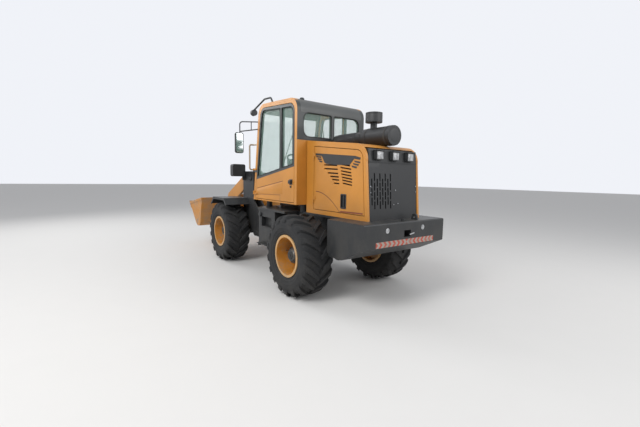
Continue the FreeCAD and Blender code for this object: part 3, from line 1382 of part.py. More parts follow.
def fenders():
    """Black mudguards over the front tyres, hung from the tower, with a rolled outer edge."""
    crown = [(-400, 110), (-300, 0), (250, 0), (380, 130)]
    under = {"sheet": [(369, 138), (244, 12), (-294, 12), (-390, 116)], "edge": [(352, 150), (232, 40), (-284, 40), (-376, 132)]}
    sheets = []
    for name, low in (("sheet", "tower_outer"), ("edge", "tyre_inner_y + tyre_width - 3")):
        outline = [(f"{FRONT} + {x}", f"fender_top - {drop}") for x, drop in crown + under[name]]
        sheets.append(prism(f"fender_{name}", "XZ", outline, low, "tyre_inner_y + tyre_width + 5"))
    node(both_sides("front_fenders_solid", fuse("fender_left", sheets)), "front_fenders")


def headlamps():
    """Head lamps with open bowls, on brackets outside the tower."""
    base = "(tower_top - 95)"
    outline = [("510", base), ("750", base), ("750", f"{base} + 220"), ("510", f"{base} + 220")]
    shell = prism("headlamp_shell", "YZ", outline, f"{FRONT} - 240", f"{FRONT} - 120", rounds=[((0, 1, 2, 3), "34")])
    bowls = []
    for number, y in enumerate(("575", "685")):
        bowls.append(cylinder(f"headlamp_bowl{number}", "X", (y, f"{base} + 110"), "46", f"{FRONT} - 132", f"{FRONT} - 115"))
    hollow = cut("headlamp_open", shell, fuse("headlamp_bowls", bowls))
    post = box("headlamp_post", (f"{FRONT} - 200", f"{FRONT} - 160"), ("tower_outer", "540"), ("tower_top - 160", "tower_top - 40"))
    node(both_sides("headlamps_solid", fuse("headlamp_left", [hollow, post])), "headlamps")


def boom():
    """Two curved arms with a cross tube, ears for the lift rods and the rocker."""
    arm = prism(
        "boom_arm",
        "XZ",
        [
            (f"{BOOM_X} - boom_boss", "boom_pivot_z + boom_boss"),
            (f"{BOOM_X} + 450", "boom_pivot_z + 40"),
            (f"{BOOM_X} + 1230", "boom_pivot_z - 330"),
            (f"{TIP_X} + 55", "tip_z + 55"),
            (f"{TIP_X} + 55", "tip_z - 55"),
            (f"{TIP_X} - 30", "tip_z - 55"),
            (f"{TIP_X} - 340", "tip_z + 330"),
            (f"{BOOM_X} + 430", "boom_pivot_z - 210"),
            (f"{BOOM_X} - boom_boss", "boom_pivot_z - boom_boss"),
        ],
        "boom_inner",
        "boom_inner + boom_plate",
        holes=[(BOOM_X, "boom_pivot_z", "boom_pin + running_gap")],
        rounds=[((0, 8), "boom_boss - 1"), ((3, 4, 5), "50"), ((1,), "160"), ((2,), "160"), ((6,), "200"), ((7,), "200")],
    )
    ears = []
    eye = (f"{BOOM_X} + lift_eye_dx", "boom_pivot_z + lift_eye_dz")
    for number, y in enumerate(("boom_inner - 20", "boom_inner + boom_plate")):
        ear = prism(
            f"lift_ear{number}",
            "XZ",
            [
                (f"{eye[0]} - 50", f"{eye[1]} - 45"),
                (f"{eye[0]} + 50", f"{eye[1]} - 45"),
                (f"{eye[0]} + 110", f"{eye[1]} + 150"),
                (f"{eye[0]} - 90", f"{eye[1]} + 150"),
            ],
            y,
            f"{y} + 20",
            rounds=[((0, 1), "40")],
        )
        ears.append(ear)
    boss = cylinder("boom_boss_ring", "Y", (BOOM_X, "boom_pivot_z"), "72", "boom_inner - 12", "boom_inner + boom_plate + 12")
    bore = cylinder("boom_boss_bore", "Y", (BOOM_X, "boom_pivot_z"), "boom_pin + running_gap", "boom_inner - 15", "boom_inner + boom_plate + 15")
    ears.append(cut("boom_boss_open", boss, bore))
    tip_pin = cylinder("tip_pin", "Y", (TIP_X, "tip_z"), "boom_pin", "boom_inner - 32", "boom_inner + boom_plate + 32")
    side = fuse("boom_side", [arm, tip_pin] + ears)
    parts = [side, mirrored("boom_side_right", side)]
    cross = (f"{ROCKER_X} - 160", "rocker_z + 20")
    parts.append(cylinder("boom_cross", "Y", cross, "55", "-boom_inner", "boom_inner"))
    mount = prism(
        "rocker_mount",
        "XZ",
        [
            (f"{ROCKER_X} - 160", "rocker_z - 25"),
            (f"{ROCKER_X} + 46", "rocker_z - 46"),
            (f"{ROCKER_X} + 46", "rocker_z + 46"),
            (f"{ROCKER_X} - 160", "rocker_z + 65"),
        ],
        "-28",
        "28",
        rounds=[((1, 2), "42")],
    )
    pin = cylinder("rocker_pin", "Y", (ROCKER_X, "rocker_z"), "boom_pin", "-75", "75")
    parts += [mount, pin]
    node(fuse("boom_solid", parts), "boom")


def rocker():
    """Two triangular plates on the boom that carry the tilt rod and the link."""
    half = "rocker_space / 2"
    plate = prism(
        "rocker_cheek",
        "XZ",
        [
            (f"{ROCKER_X} - 48", "rocker_z - 50"),
            (f"{ROCKER_X} + 52", "rocker_z - 50"),
            (f"{ROCKER_X} + rocker_tip_dx + 50", "rocker_z + rocker_tip_dz - 25"),
            (f"{ROCKER_X} + rocker_tip_dx + 10", "rocker_z + rocker_tip_dz + 52"),
            (f"{ROCKER_X} + rocker_head_dx - 10", "rocker_z + rocker_head_dz + 50"),
            (f"{ROCKER_X} + rocker_head_dx - 46", "rocker_z + rocker_head_dz - 20"),
        ],
        half,
        f"{half} + rocker_plate",
        holes=[(ROCKER_X, "rocker_z", "boom_pin + running_gap")],
        rounds=[((0, 1, 2, 3, 4, 5), "38")],
    )
    spacer_at = (f"{ROCKER_X} + 30", "rocker_z + 150")
    spacer = cylinder("rocker_spacer", "Y", spacer_at, "28", f"-({half})", half)
    node(fuse("rocker_solid", [plate, mirrored("rocker_cheek_right", plate), spacer]), "rocker")


def link():
    """The link from the rocker down to the bucket's upper pin."""
    low = (f"{TIP_X} + link_pin_dx", "tip_z + link_pin_dz")
    high = (f"{ROCKER_X} + rocker_tip_dx", "rocker_z + rocker_tip_dz")
    half = "(rocker_space / 2 - 7)"
    bar = prism(
        "link_bar",
        "XZ",
        [
            (f"{low[0]} - 35", low[1]),
            (f"{low[0]} + 35", low[1]),
            (f"{high[0]} + 35", high[1]),
            (f"{high[0]} - 35", high[1]),
        ],
        f"-{half}",
        half,
    )
    eyes = [cylinder(f"link_eye{i}", "Y", at, "48", f"-{half}", half) for i, at in enumerate((low, high))]
    whole = fuse("link_whole", [bar] + eyes)
    bore = cylinder("link_bore", "Y", low, "22 + running_gap", f"-{half} - 5", f"{half} + 5")
    node(cut("link_solid", whole, bore), "bucket_link")


def bucket_outline(inset):
    """Side profile of the bucket, rolled back; rows run from the lip round the heel."""
    return [
        (f"{TIP_X} + 820", "tip_z + 320"),
        (f"{TIP_X} + 395", "tip_z - 100"),
        (f"{TIP_X} + 300", "tip_z - 150"),
        (f"{TIP_X} + 180", "tip_z - 150"),
        (f"{TIP_X} + 90", "tip_z - 80"),
        (f"{TIP_X} - 40", "tip_z + 460"),
    ]


def bucket():
    """The bucket: rolled shell, two side plates, cutting edge and its pin ears."""
    outer_points = bucket_outline("0")
    solid = prism("bucket_outer", "XZ", outer_points, "-bucket_half", "bucket_half", rounds=[((1, 2, 3, 4), "60")])
    inner_points = [
        (f"{TIP_X} + 830", "tip_z + 355"),
        (f"{TIP_X} + 388", "tip_z - 85"),
        (f"{TIP_X} + 297", "tip_z - 134"),
        (f"{TIP_X} + 186", "tip_z - 134"),
        (f"{TIP_X} + 105", "tip_z - 70"),
        (f"{TIP_X} - 26", "tip_z + 480"),
    ]
    hollow_y = ("-bucket_half + bucket_side", "bucket_half - bucket_side")
    hollow = prism("bucket_hollow", "XZ", inner_points, *hollow_y, rounds=[((1, 2, 3, 4), "50")])
    shell = cut("bucket_shell", solid, hollow)
    edge = prism(
        "cutting_edge",
        "XZ",
        [
            (f"{TIP_X} + 838", "tip_z + 343"),
            (f"{TIP_X} + 697", "tip_z + 203"),
            (f"{TIP_X} + 709", "tip_z + 190"),
            (f"{TIP_X} + 850", "tip_z + 331"),
        ],
        "-bucket_half - 6",
        "bucket_half + 6",
    )
    parts = [shell, edge]
    for side in (1, -1):
        side_edge = tuple(sorted((f"{side} * (bucket_half - 5)", f"{side} * (bucket_half + 9)"), key=value))
        parts.append(
            prism(
                f"side_cutter{'l' if side > 0 else 'r'}",
                "XZ",
                [
                    (f"{TIP_X} + 820", "tip_z + 320"),
                    (f"{TIP_X} - 40", "tip_z + 460"),
                    (f"{TIP_X} - 30", "tip_z + 412"),
                    (f"{TIP_X} + 775", "tip_z + 275"),
                ],
                *side_edge,
            )
        )
        for number, y in enumerate(("boom_inner - 30", "boom_inner + boom_plate + 8")):
            span = tuple(sorted((f"{side} * ({y})", f"{side} * ({y} + 22)"), key=value))
            parts.append(
                prism(
                    f"tip_ear{number}{'l' if side > 0 else 'r'}",
                    "XZ",
                    [
                        (f"{TIP_X} - 62", "tip_z - 62"),
                        (f"{TIP_X} + 110", "tip_z - 90"),
                        (f"{TIP_X} + 60", "tip_z + 120"),
                        (f"{TIP_X} - 62", "tip_z + 62"),
                    ],
                    *span,
                    holes=[(TIP_X, "tip_z", "boom_pin + running_gap")],
                )
            )
    upper = (f"{TIP_X} + link_pin_dx", "tip_z + link_pin_dz")
    gap = "(rocker_space / 2)"
    for side in (1, -1):
        span = tuple(sorted((f"{side} * {gap}", f"{side} * ({gap} + 22)"), key=value))
        parts.append(
            prism(
                f"link_ear{'l' if side > 0 else 'r'}",
                "XZ",
                [
                    (f"{upper[0]} - 45", f"{upper[1]} - 45"),
                    (f"{TIP_X} + 100", "tip_z - 80"),
                    (f"{TIP_X} - 10", "tip_z + 400"),
                    (f"{upper[0]} - 45", f"{upper[1]} + 45"),
                ],
                *span,
            )
        )
    parts.append(cylinder("link_pin", "Y", upper, "22", f"-{gap} - 24", f"{gap} + 24"))
    node(fuse("bucket_solid", parts), "bucket")


def barrel(name, radius, rod_radius, start, length, eye_radius, eye_half, pin_radius, eye_axis):
    """A cylinder barrel along local +X with its base eye at the local origin."""
    tube = cylinder(name + "_tube", "X", ("0", "0"), radius, start, length)
    neck = cylinder(name + "_neck", "X", ("0", "0"), f"({eye_half}) * 0.8", f"{eye_radius} * 0.6", f"{start} + 5")
    eye = cylinder(name + "_eye", eye_axis, ("0", "0"), eye_radius, f"-({eye_half})", eye_half)
    gland = cylinder(name + "_gland", "X", ("0", "0"), f"{radius} + 4", f"{length} - 36", length)
    whole = fuse(name + "_whole", [tube, neck, eye, gland])
    bore_start = f"{start} + 30"
    bore = cylinder(name + "_bore", "X", ("0", "0"), f"{rod_radius} + running_gap", bore_start, f"{length} + 5")
    reach = f"{eye_half} + 5"
    hole = cylinder(name + "_hole", eye_axis, ("0", "0"), f"{pin_radius} + running_gap", f"-({reach})", reach)
    return cut(name + "_local", whole, fuse(name + "_holes", [bore, hole]))


def rod(name, radius, start, end, eye_radius, eye_half, eye_axis):
    """A cylinder rod along local +X; its eye lies at the end."""
    bar = cylinder(name + "_bar", "X", ("0", "0"), radius, start, end)
    centre = (end, "0")
    eye = cylinder(name + "_eye", eye_axis, centre, eye_radius, f"-({eye_half})", eye_half)
    return fuse(name + "_local", [bar, eye])


def placed_copy(name, source, x, y, z, axis, angle):
    """The local piece moved to its place, turned in the boom's or the deck's plane."""
    holder = add("Part::Compound", name)
    holder.Links = [source]
    return move(holder, x, y, z, axis, angle)


def lift_cylinders():
    base = (f"{BOOM_X} + lift_base_dx", "boom_pivot_z + lift_base_dz")
    dx, dz = "(lift_eye_dx - lift_base_dx)", "(lift_eye_dz - lift_base_dz)"
    angle = f"-atan({dz} / {dx}) / 1 deg"
    reach = f"sqrt({dx}^2 + {dz}^2)"
    tube = barrel("lift_barrel", "lift_radius", "lift_rod", "34", "650", "44", "42", "20", "Y")
    bar = rod("lift_bar", "lift_rod", "165", reach, "42", "23", "Y")
    y = "boom_inner + boom_plate / 2"
    for solid, label in ((tube, "lift_barrels"), (bar, "lift_rods")):
        left = placed_copy(f"{label}_left", solid, base[0], y, base[1], "Y", angle)
        node(both_sides(f"{label}_solid", left), label)


def tilt_cylinder():
    base = (f"{BOOM_X} + tilt_base_dx", "boom_pivot_z + tilt_base_dz")
    dx = f"({ROCKER_X} + rocker_head_dx - ({base[0]}))"
    dz = f"(rocker_z + rocker_head_dz - ({base[1]}))"
    angle = f"-atan({dz} / {dx}) / 1 deg"
    reach = f"sqrt({dx}^2 + {dz}^2)"
    tube = barrel("tilt_barrel", "tilt_radius", "tilt_rod", "40", "560", "48", "47", "22", "Y")
    bar = rod("tilt_bar", "tilt_rod", "130", reach, "42", "30", "Y")
    for solid, label in ((tube, "tilt_barrel"), (bar, "tilt_rod")):
        node(placed_copy(f"{label}_solid", solid, base[0], "0", base[1], "Y", angle), label)


def steering_cylinders():
    tube = barrel("steer_barrel", "steer_radius", "steer_rod", "46", "385", "32", "17", "14", "Z")
    bar = rod("steer_bar", "steer_rod", "221", "steer_eye - steer_base", "32", "18", "Z")
    for solid, label in ((tube, "steer_barrel"), (bar, "steer_rod")):
        left = placed_copy(f"{label}_place", solid, f"{PIVOT} + steer_base", "steer_y", "steer_z", "Z", "0")
        node(left, f"{label}_left")
        node(mirrored(f"{label}_twin", left), f"{label}_right")


def build():
    wheel("front", FRONT)
    wheel("rear", REAR)
    rear_axle()
    front_axle()
    rear_frame()
    counterweight()
    powertrain()
    cab()
    cab_glass()
    cab_door()
    cab_inside()
    hood()
    radiator_guard()
    air_cleaner()
    tanks()
    handrails()
    mirrors()
    roof_lamp()
    front_frame()
    front_shaft()
    fenders()
    headlamps()
    boom()
    rocker()
    link()
    bucket()
    lift_cylinders()
    tilt_cylinder()
    steering_cylinders()
    doc.recompute()


def write_parts():
    """Checks every object, then writes one STEP file a node."""
    failed = [obj.Name for obj in doc.Objects if "Invalid" in obj.State or "Error" in obj.State]
    if failed:
        raise RuntimeError("failed: " + ", ".join(failed))
    os.makedirs("parts", exist_ok=True)
    for obj in nodes:
        shape = obj.Shape
        if shape.isNull() or not shape.isValid() or not shape.Solids:
            raise RuntimeError(f"{obj.Label} has no valid solid")
        shape.exportStep(f"parts/{obj.Label}.step")
        box_ = shape.BoundBox
        print(
            f"{obj.Label}: {len(shape.Solids)} solids, {shape.Volume / 1e6:.2f} l, "
            f"x {box_.XMin:.0f}..{box_.XMax:.0f} y {box_.YMin:.0f}..{box_.YMax:.0f} z {box_.ZMin:.0f}..{box_.ZMax:.0f}"
        )


build()
write_parts()
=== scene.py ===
import math

import bmesh
import bpy
from mathutils import Matrix, Vector


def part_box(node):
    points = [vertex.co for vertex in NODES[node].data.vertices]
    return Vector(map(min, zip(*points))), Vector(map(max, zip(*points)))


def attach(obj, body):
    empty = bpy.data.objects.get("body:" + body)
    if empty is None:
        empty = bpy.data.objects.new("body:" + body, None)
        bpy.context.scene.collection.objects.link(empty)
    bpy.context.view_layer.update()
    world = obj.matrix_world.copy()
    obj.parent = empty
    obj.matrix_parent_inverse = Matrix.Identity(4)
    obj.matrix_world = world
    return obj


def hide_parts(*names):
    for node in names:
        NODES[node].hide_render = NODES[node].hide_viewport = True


bl_info = {
    "name": "Wheel loader dressing",
    "version": (1, 0, 0),
    "blender": (4, 5, 0),
    "location": "View3D > Sidebar > Loader",
    "description": "Paints and dresses the packed wheel loader and lights it in a plain studio",
    "category": "Object",
}

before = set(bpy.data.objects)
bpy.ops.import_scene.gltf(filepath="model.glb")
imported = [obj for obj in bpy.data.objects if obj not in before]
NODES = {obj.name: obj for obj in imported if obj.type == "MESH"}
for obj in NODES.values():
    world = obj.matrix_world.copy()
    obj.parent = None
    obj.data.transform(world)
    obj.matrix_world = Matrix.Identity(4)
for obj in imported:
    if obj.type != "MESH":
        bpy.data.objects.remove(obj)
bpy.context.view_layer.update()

# Lines of the machine that the CAD holds, read back from its nodes
REAR_X = sum(corner.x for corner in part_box("tyre_rear_left")) / 2
FRONT_X = sum(corner.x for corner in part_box("tyre_front_left")) / 2
TYRE_LOW, TYRE_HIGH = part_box("tyre_front_left")
TYRE_RADIUS = TYRE_HIGH.z / 2
WHEEL_Y = (TYRE_LOW.y + TYRE_HIGH.y) / 2
HOOD_SIDE_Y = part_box("engine_door_left")[0].y + 0.03
WEIGHT_REAR_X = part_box("counterweight")[0].x

# Lines that follow from the same drawing: the cab, the pins of the arms and cylinders, the air cleaner
FRONT_POST_X = REAR_X + 1.603
ARCH_INNER_Y = 0.549
DOOR_FACE_Y = 0.611
REAR_SILL_Z = 2.055
ROOF_TOP_Z = 2.620
TOWER_FACE_Y = 0.494
BOOM_PIN = Vector((FRONT_X - 0.43, 0, 1.52))
LIFT_FOOT = BOOM_PIN + Vector((-0.22, 0, -0.96))
LIFT_HEAD = BOOM_PIN + Vector((0.331, 0, -0.2586))
TILT_FOOT = BOOM_PIN + Vector((0.09, 0, 0.05))
ROCKER_HEAD = Vector((FRONT_X + 0.45, 0, 1.39))
CLEANER_Z = 2.055
STRIP_MIDDLE_Y, STRIP_MIDDLE_Z = 0.01, 0.826

SIDES = (("left", 1), ("right", -1))
WHEELS = [
    (f"{end}_{side}", axle, sign) for end, axle in (("front", FRONT_X), ("rear", REAR_X)) for side, sign in SIDES
]


def colour_property(name, description, default):
    return bpy.props.FloatVectorProperty(name=name, description=description, subtype="COLOR", default=default)


def length_property(name, description, default):
    return bpy.props.FloatProperty(name=name, description=description, default=default, unit="LENGTH")


def count_property(name, description, default, least):
    return bpy.props.IntProperty(name=name, description=description, default=default, min=least)


class LoaderColours(bpy.types.PropertyGroup):
    """Base colours of the finishes, as linear light."""

    body: colour_property("Body paint", "Hood, doors and arms", (0.60, 0.250, 0.034))
    frame: colour_property("Frame paint", "Frames and counterweight", (0.018, 0.0195, 0.021))
    roof: colour_property("Roof paint", "Roof panel and rear header", (0.085, 0.09, 0.088))
    rail: colour_property("Rail paint", "Grab rails", (0.50, 0.40, 0.29))
    rubber: colour_property("Rubber", "Tyres", (0.012, 0.0125, 0.0135))
    glass: colour_property("Glass tint", "Window panes", (0.42, 0.66, 0.56))
    dust: colour_property("Dust", "Dry dirt low on the machine", (0.27, 0.235, 0.185))
    # Painted highlight: the paler lip colour stands in for the light that falls on a rim's lip.
    rim_lip: colour_property("Rim lip", "Pale outer lip of a rim", (0.56, 0.33, 0.13))
    signal_red: colour_property("Signal red", "Red of the rear warning strip", (0.45, 0.055, 0.03))


class LoaderSizes(bpy.types.PropertyGroup):
    """Sizes of the dressing that a user would change."""

    lug_count: count_property("Lugs a side", "Tread bars on each half of a tyre", 18, 8)
    lug_height: length_property("Lug height", "Tread depth at the middle", 0.030)
    bolt_radius: length_property("Bolt head", "Across-corner radius of a frame bolt", 0.008)
    wheel_nuts: count_property("Wheel nuts", "Nuts on a wheel disc", 10, 4)


class Value:
    """A number socket on which plain maths adds Math nodes."""

    def __init__(self, tree, socket):
        self.tree = tree
        self.socket = socket

    def maths(self, operation, *others):
        node = self.tree.nodes.new("ShaderNodeMath")
        node.operation = operation
        for slot, item in zip(node.inputs, (self, *others)):
            put(self.tree, slot, item)
        return Value(self.tree, node.outputs[0])

    def __add__(self, other):
        return self.maths("ADD", other)

    __radd__ = __add__

    def __mul__(self, other):
        return self.maths("MULTIPLY", other)

    __rmul__ = __mul__

    def __sub__(self, other):
        return self.maths("SUBTRACT", other)

    def __rsub__(self, other):
        return -self + other

    def __neg__(self):
        return self.maths("MULTIPLY", -1.0)

    def __truediv__(self, other):
        return self.maths("DIVIDE", other)

    def __pow__(self, other):
        return self.maths("POWER", other)

    def __gt__(self, other):
        return self.maths("GREATER_THAN", other)

    def __abs__(self):
        return self.maths("ABSOLUTE")

    def over(self, edge, soft):
        """0 below the edge, 1 above it, over a soft width."""
        sockets = {"Value": self, "From Min": edge - soft, "From Max": edge + soft}
        node = add_node(self.tree, "ShaderNodeMapRange", {"interpolation_type": "SMOOTHSTEP"}, **sockets)
        return Value(self.tree, node.outputs[0])

    def under(self, edge, soft):
        """1 below the edge, 0 above it, over a soft width."""
        return 1.0 - self.over(edge, soft)


def put(tree, slot, item):
    """Links a value or socket to an input, or sets the input; a colour gets its alpha."""
    if isinstance(item, Value):
        item = item.socket
    if isinstance(item, bpy.types.NodeSocket):
        tree.links.new(item, slot)
    else:
        slot.default_value = (*item, 1.0) if slot.type == "RGBA" else item


def add_node(tree, kind, settings=None, **sockets):
    """A node with its settings first and then its sockets, by name or as n and their number."""
    node = tree.nodes.new(kind)
    for key, item in (settings or {}).items():
        setattr(node, key, item)
    for key, item in sockets.items():
        key = int(key[1:]) if key[0] == "n" and key[1:].isdigit() else key.replace("_", " ")
        put(tree, node.inputs[key], item)
    return node


class Finish:
    """A material under construction."""

    def __init__(self, name, rough=0.5, metal=0.0, coat=0.0):
        self.material = bpy.data.materials.new(name)
        self.material.use_nodes = True
        self.tree = self.material.node_tree
        self.shader = next(node for node in self.tree.nodes if node.type == "BSDF_PRINCIPLED")
        self.feed(("Roughness", rough), ("Metallic", metal), ("Coat Weight", coat))
        self.point = self.node("ShaderNodeTexCoord").outputs["Object"]
        self.x, self.y, self.z = self.parts(self.point)

    @property
    def ahead(self):
        """The distance ahead of the rear axle."""
        return self.x - REAR_X

    def feed(self, *pairs):
        for key, item in pairs:
            put(self.tree, self.shader.inputs[key], item)

    def node(self, kind, settings=None, **sockets):
        return add_node(self.tree, kind, settings, **sockets)

    def parts(self, vector):
        split = self.node("ShaderNodeSeparateXYZ", n0=vector)
        return [Value(self.tree, split.outputs[i]) for i in range(3)]

    def noise(self, scale, detail=3.0, rough=0.55, stretch=None):
        """A noise value; stretch scales the three axes."""
        point = self.point
        if stretch:
            point = self.node("ShaderNodeMapping", Vector=point, Scale=stretch).outputs[0]
        node = self.node("ShaderNodeTexNoise", Vector=point, Scale=scale, Detail=detail, Roughness=rough)
        return Value(self.tree, node.outputs["Fac"])

    def mix(self, share, low, high):
        """The low colour where the share is 0 and the high one where it is 1."""
        node = self.node("ShaderNodeMix", {"data_type": "RGBA"}, n0=share)
        for slot, colour in zip((slot for slot in node.inputs if slot.type == "RGBA"), (low, high)):
            put(self.tree, slot, colour)
        return next(slot for slot in node.outputs if slot.type == "RGBA")

    def facing(self, axis):
        """How far a face looks along an axis, 1 for straight along it."""
        return self.parts(self.node("ShaderNodeNewGeometry").outputs["Normal"])[axis]

    def done(self, colour, rough, height=None, strength=0.2, distance=0.002):
        self.feed(("Base Color", colour), ("Roughness", rough))
        if height is not None:
            bump = self.node("ShaderNodeBump", Height=height, Strength=strength, Distance=distance)
            self.feed(("Normal", bump.outputs[0]))
        return self.material


FINISHES = {}


def finish(name):
    """The finish of that name, made on first use."""
    if name not in FINISHES:
        FINISHES[name] = FINISH_TABLE[name][0](name)
    return FINISHES[name]


def hue(name):
    """One of the panel's colours."""
    return tuple(getattr(bpy.context.scene.loader_colours, name))


def sizes():
    return bpy.context.scene.loader_sizes


def shade(colour, share, lift=0.0):
    return tuple(min(1.0, part * share + lift) for part in colour)


def paint(name, colour, rough=0.42, coat=0.14, dust_height=1.35, dust_amount=0.4, marks=()):
    """Worn machine paint: faded patches, fine scratches, dust low down and on tops.

    marks are pairs of a function, which gives a mask from the finish, and the colour laid over the paint there.
    """
    cover = Finish(name, rough=rough, coat=coat)
    fade = cover.noise(1.7, 4.0)
    fine = cover.noise(38.0, 6.0, 0.7)
    streak = cover.noise(5.0, 4.0, 0.6, stretch=(1.6, 1.6, 0.8))
    tone = cover.mix(fade.over(0.5, 0.22), shade(colour, 0.80), colour)
    tone = cover.mix(fine.over(0.66, 0.10) * 0.35, tone, shade(colour, 1.18, 0.02))
    for mask, mark_colour in marks:
        tone = cover.mix(mask(cover), tone, mark_colour)
    low = cover.z.under(dust_height * 0.62, dust_height * 0.5)
    top = cover.facing(2).over(0.75, 0.2)
    dirt = (low * 0.6 + top * 0.45) * streak.over(0.50, 0.16) * dust_amount
    tone = cover.mix(dirt, tone, hue("dust"))
    roughness = fine * 0.16 + dirt * 0.35 + (rough - 0.08)
    return cover.done(tone, roughness, height=fine + streak * 0.6, strength=0.05, distance=0.001)


def dark_paint(name, colour=None, dust=0.16, **options):
    return paint(name, colour or hue("frame"), rough=0.5, coat=0.1, dust_amount=dust, **options)


def cab_paint(name):
    """Body paint on the side arches and under the windows, dark round the windows, and painted shade in that dark on
    faces that look rearward above the sill.
    """
    # The dark colour serves both the real dark trim round the windows and the painted shade on rearward faces.
    dark = (0.030, 0.034, 0.034)

    def between_arches(cover):
        return abs(cover.y).under(ARCH_INNER_Y, 0.001)

    def above_sill(cover):
        return cover.z.over(REAR_SILL_Z, 0.002)

    marks = (
        lambda cover: between_arches(cover) * above_sill(cover),
        # Painted shade: faces that look rearward above the sill get the dark colour, for the shade that falls on them.
        lambda cover: (-cover.facing(0)).over(0.6, 0.1) * above_sill(cover),
        lambda cover: between_arches(cover) * cover.ahead.over(1.2, 0.01) * cover.z.over(1.5, 0.01),
    )
    return paint(name, hue("body"), marks=[(mark, dark) for mark in marks])


def door_paint(name):
    """The door: body paint below the glass line, dark window frame above it, and painted shade lines along the creases
    and the recess side of the panel.
    """
    # Painted shade: darker lines that stand in for the shade in the panel's creases and along the side of its recess.
    crease_shade = (0.11, 0.035, 0.010)

    def window_frame(cover):
        return (cover.z + cover.ahead * 0.1648 - 1.7862).over(-0.040, 0.002)

    def line(start, end, half):
        """The mask of a thin line between two places, given as (distance ahead of the rear axle, height)."""
        slope = (end[1] - start[1]) / (end[0] - start[0])

        def mask(cover):
            away = abs(cover.z - start[1] - (cover.ahead - start[0]) * slope)
            span = cover.ahead.over(end[0], 0.001) * cover.ahead.under(start[0], 0.001)
            return away.under(half, 0.001) * span * cover.y.over(0.605, 0.002)

        return mask

    def recess_side(cover):
        return abs(cover.ahead - 0.705).under(0.0035, 0.001) * cover.z.under(1.281, 0.001)

    marks = (
        (window_frame, (0.032, 0.036, 0.036)),
        (line((1.474, 1.357), (0.619, 1.488), 0.0045), crease_shade),
        (line((1.513, 1.256), (0.705, 1.280), 0.0035), crease_shade),
        (recess_side, crease_shade),
    )
    return paint(name, hue("body"), marks=marks)


def hood_paint(name):
    """Hood side paint with the thin dark curved line and the straight line at its foot."""

    def strip(cover, along, height, half, front, back, soft):
        side = abs(cover.y).over(HOOD_SIDE_Y - 0.01, 0.005)
        return abs(cover.z - height).under(half, 0.0015) * side * along.under(front, soft) * along.over(back, 0.004)

    def curved_line(cover):
        along = cover.ahead - 0.02
        return strip(cover, along, 1.362 - along * along * 0.92, 0.0055, 0.0, -0.53, 0.002)

    def foot_line(cover):
        return strip(cover, cover.ahead, (cover.ahead + 0.5) * -0.02 + 1.1335, 0.009, -0.5, -0.9, 0.004)

    marks = ((curved_line, (0.13, 0.035, 0.012)), (foot_line, (0.20, 0.045, 0.015)))
    return paint(name, hue("body"), marks=marks)


def rim_paint(name):
    """Body-coloured disc, paler lip as a painted highlight, and dark greasy hub, set by the distance from the wheel's
    axis.
    """
    cover = Finish(name, rough=0.48, coat=0.15)
    lift = cover.z - TYRE_RADIUS
    across = abs(cover.x - FRONT_X).maths("MINIMUM", abs(cover.ahead))
    radius = (across * across + lift * lift) ** 0.5
    grain = cover.noise(30.0, 5.0, 0.65)
    patch = cover.noise(7.0, 3.0)
    tone = cover.mix(patch.over(0.5, 0.2), shade(hue("body"), 0.8), hue("body"))
    # Painted highlight: the outer lip is laid paler, for the light on it.
    tone = cover.mix(radius.over(0.246, 0.004), tone, hue("rim_lip"))
    tone = cover.mix(radius.under(0.134, 0.003), tone, (0.035, 0.036, 0.037))
    dirt = (grain * 0.6 + patch * 0.6).over(0.68, 0.12) * 0.6
    tone = cover.mix(dirt, tone, hue("dust"))
    return cover.done(tone, grain * 0.25 + 0.4, height=grain, strength=0.08, distance=0.001)


def tyre_rubber(name):
    """Dusty black rubber with fine mould grain."""
    cover = Finish(name, rough=0.82)
    grain = cover.noise(90.0, 4.0, 0.7)
    patch = cover.noise(6.0, 4.0, 0.6)
    worn = (patch.over(0.52, 0.16) * 0.42 + cover.z.under(0.42, 0.35) * 0.25) * grain.over(0.42, 0.25)
    tone = cover.mix(worn * 0.4, hue("rubber"), (0.085, 0.077, 0.066))
    return cover.done(tone, 0.88 - grain * 0.12, height=grain + patch, strength=0.16)


def window_pane(name):
    """Tinted glass with a thin smear."""
    cover = Finish(name, rough=0.04)
    smear = cover.noise(3.5, 5.0, 0.6)
    dust = cover.noise(14.0, 4.0)
    tone = cover.mix(smear.over(0.5, 0.25) * 0.3, hue("glass"), (0.55, 0.62, 0.57))
    cover.feed(("IOR", 1.5), ("Alpha", smear * 0.07 + dust * 0.04 + 0.12))
    return cover.done(tone, smear * 0.05 + 0.03)


def chrome(name):
    """Polished rod with a thin film of oil."""
    cover = Finish(name, rough=0.16, metal=1.0)
    line = cover.noise(60.0, 3.0, 0.6)
    oil = cover.noise(5.0, 3.0)
    return cover.done(cover.mix(oil.over(0.55, 0.2), (0.62, 0.63, 0.65), (0.44, 0.43, 0.41)), line * 0.12 + 0.10)


def cast_metal(name):
    """Rough dark casting with patches of dirt."""
    cover = Finish(name, rough=0.7)
    grit = cover.noise(55.0, 6.0, 0.7)
    patch = cover.noise(4.0, 4.0)
    tone = cover.mix(patch.over(0.52, 0.2), (0.020, 0.021, 0.022), (0.055, 0.050, 0.043))
    return cover.done(tone, grit * 0.2 + 0.6, height=grit, strength=0.35)


def plastic(name, tone=(0.022, 0.023, 0.024), rough=0.5, grain_scale=160.0):
    """Plain moulded cover with a fine grain."""
    cover = Finish(name, rough=rough)
    grain = cover.noise(grain_scale, 3.0, 0.6)
    patch = cover.noise(5.0, 3.0)
    mixed = cover.mix(patch.over(0.55, 0.25) * 0.4, tone, shade(tone, 1.7, 0.01))
    return cover.done(mixed, grain * 0.12 + rough - 0.05, height=grain, strength=0.12, distance=0.0006)


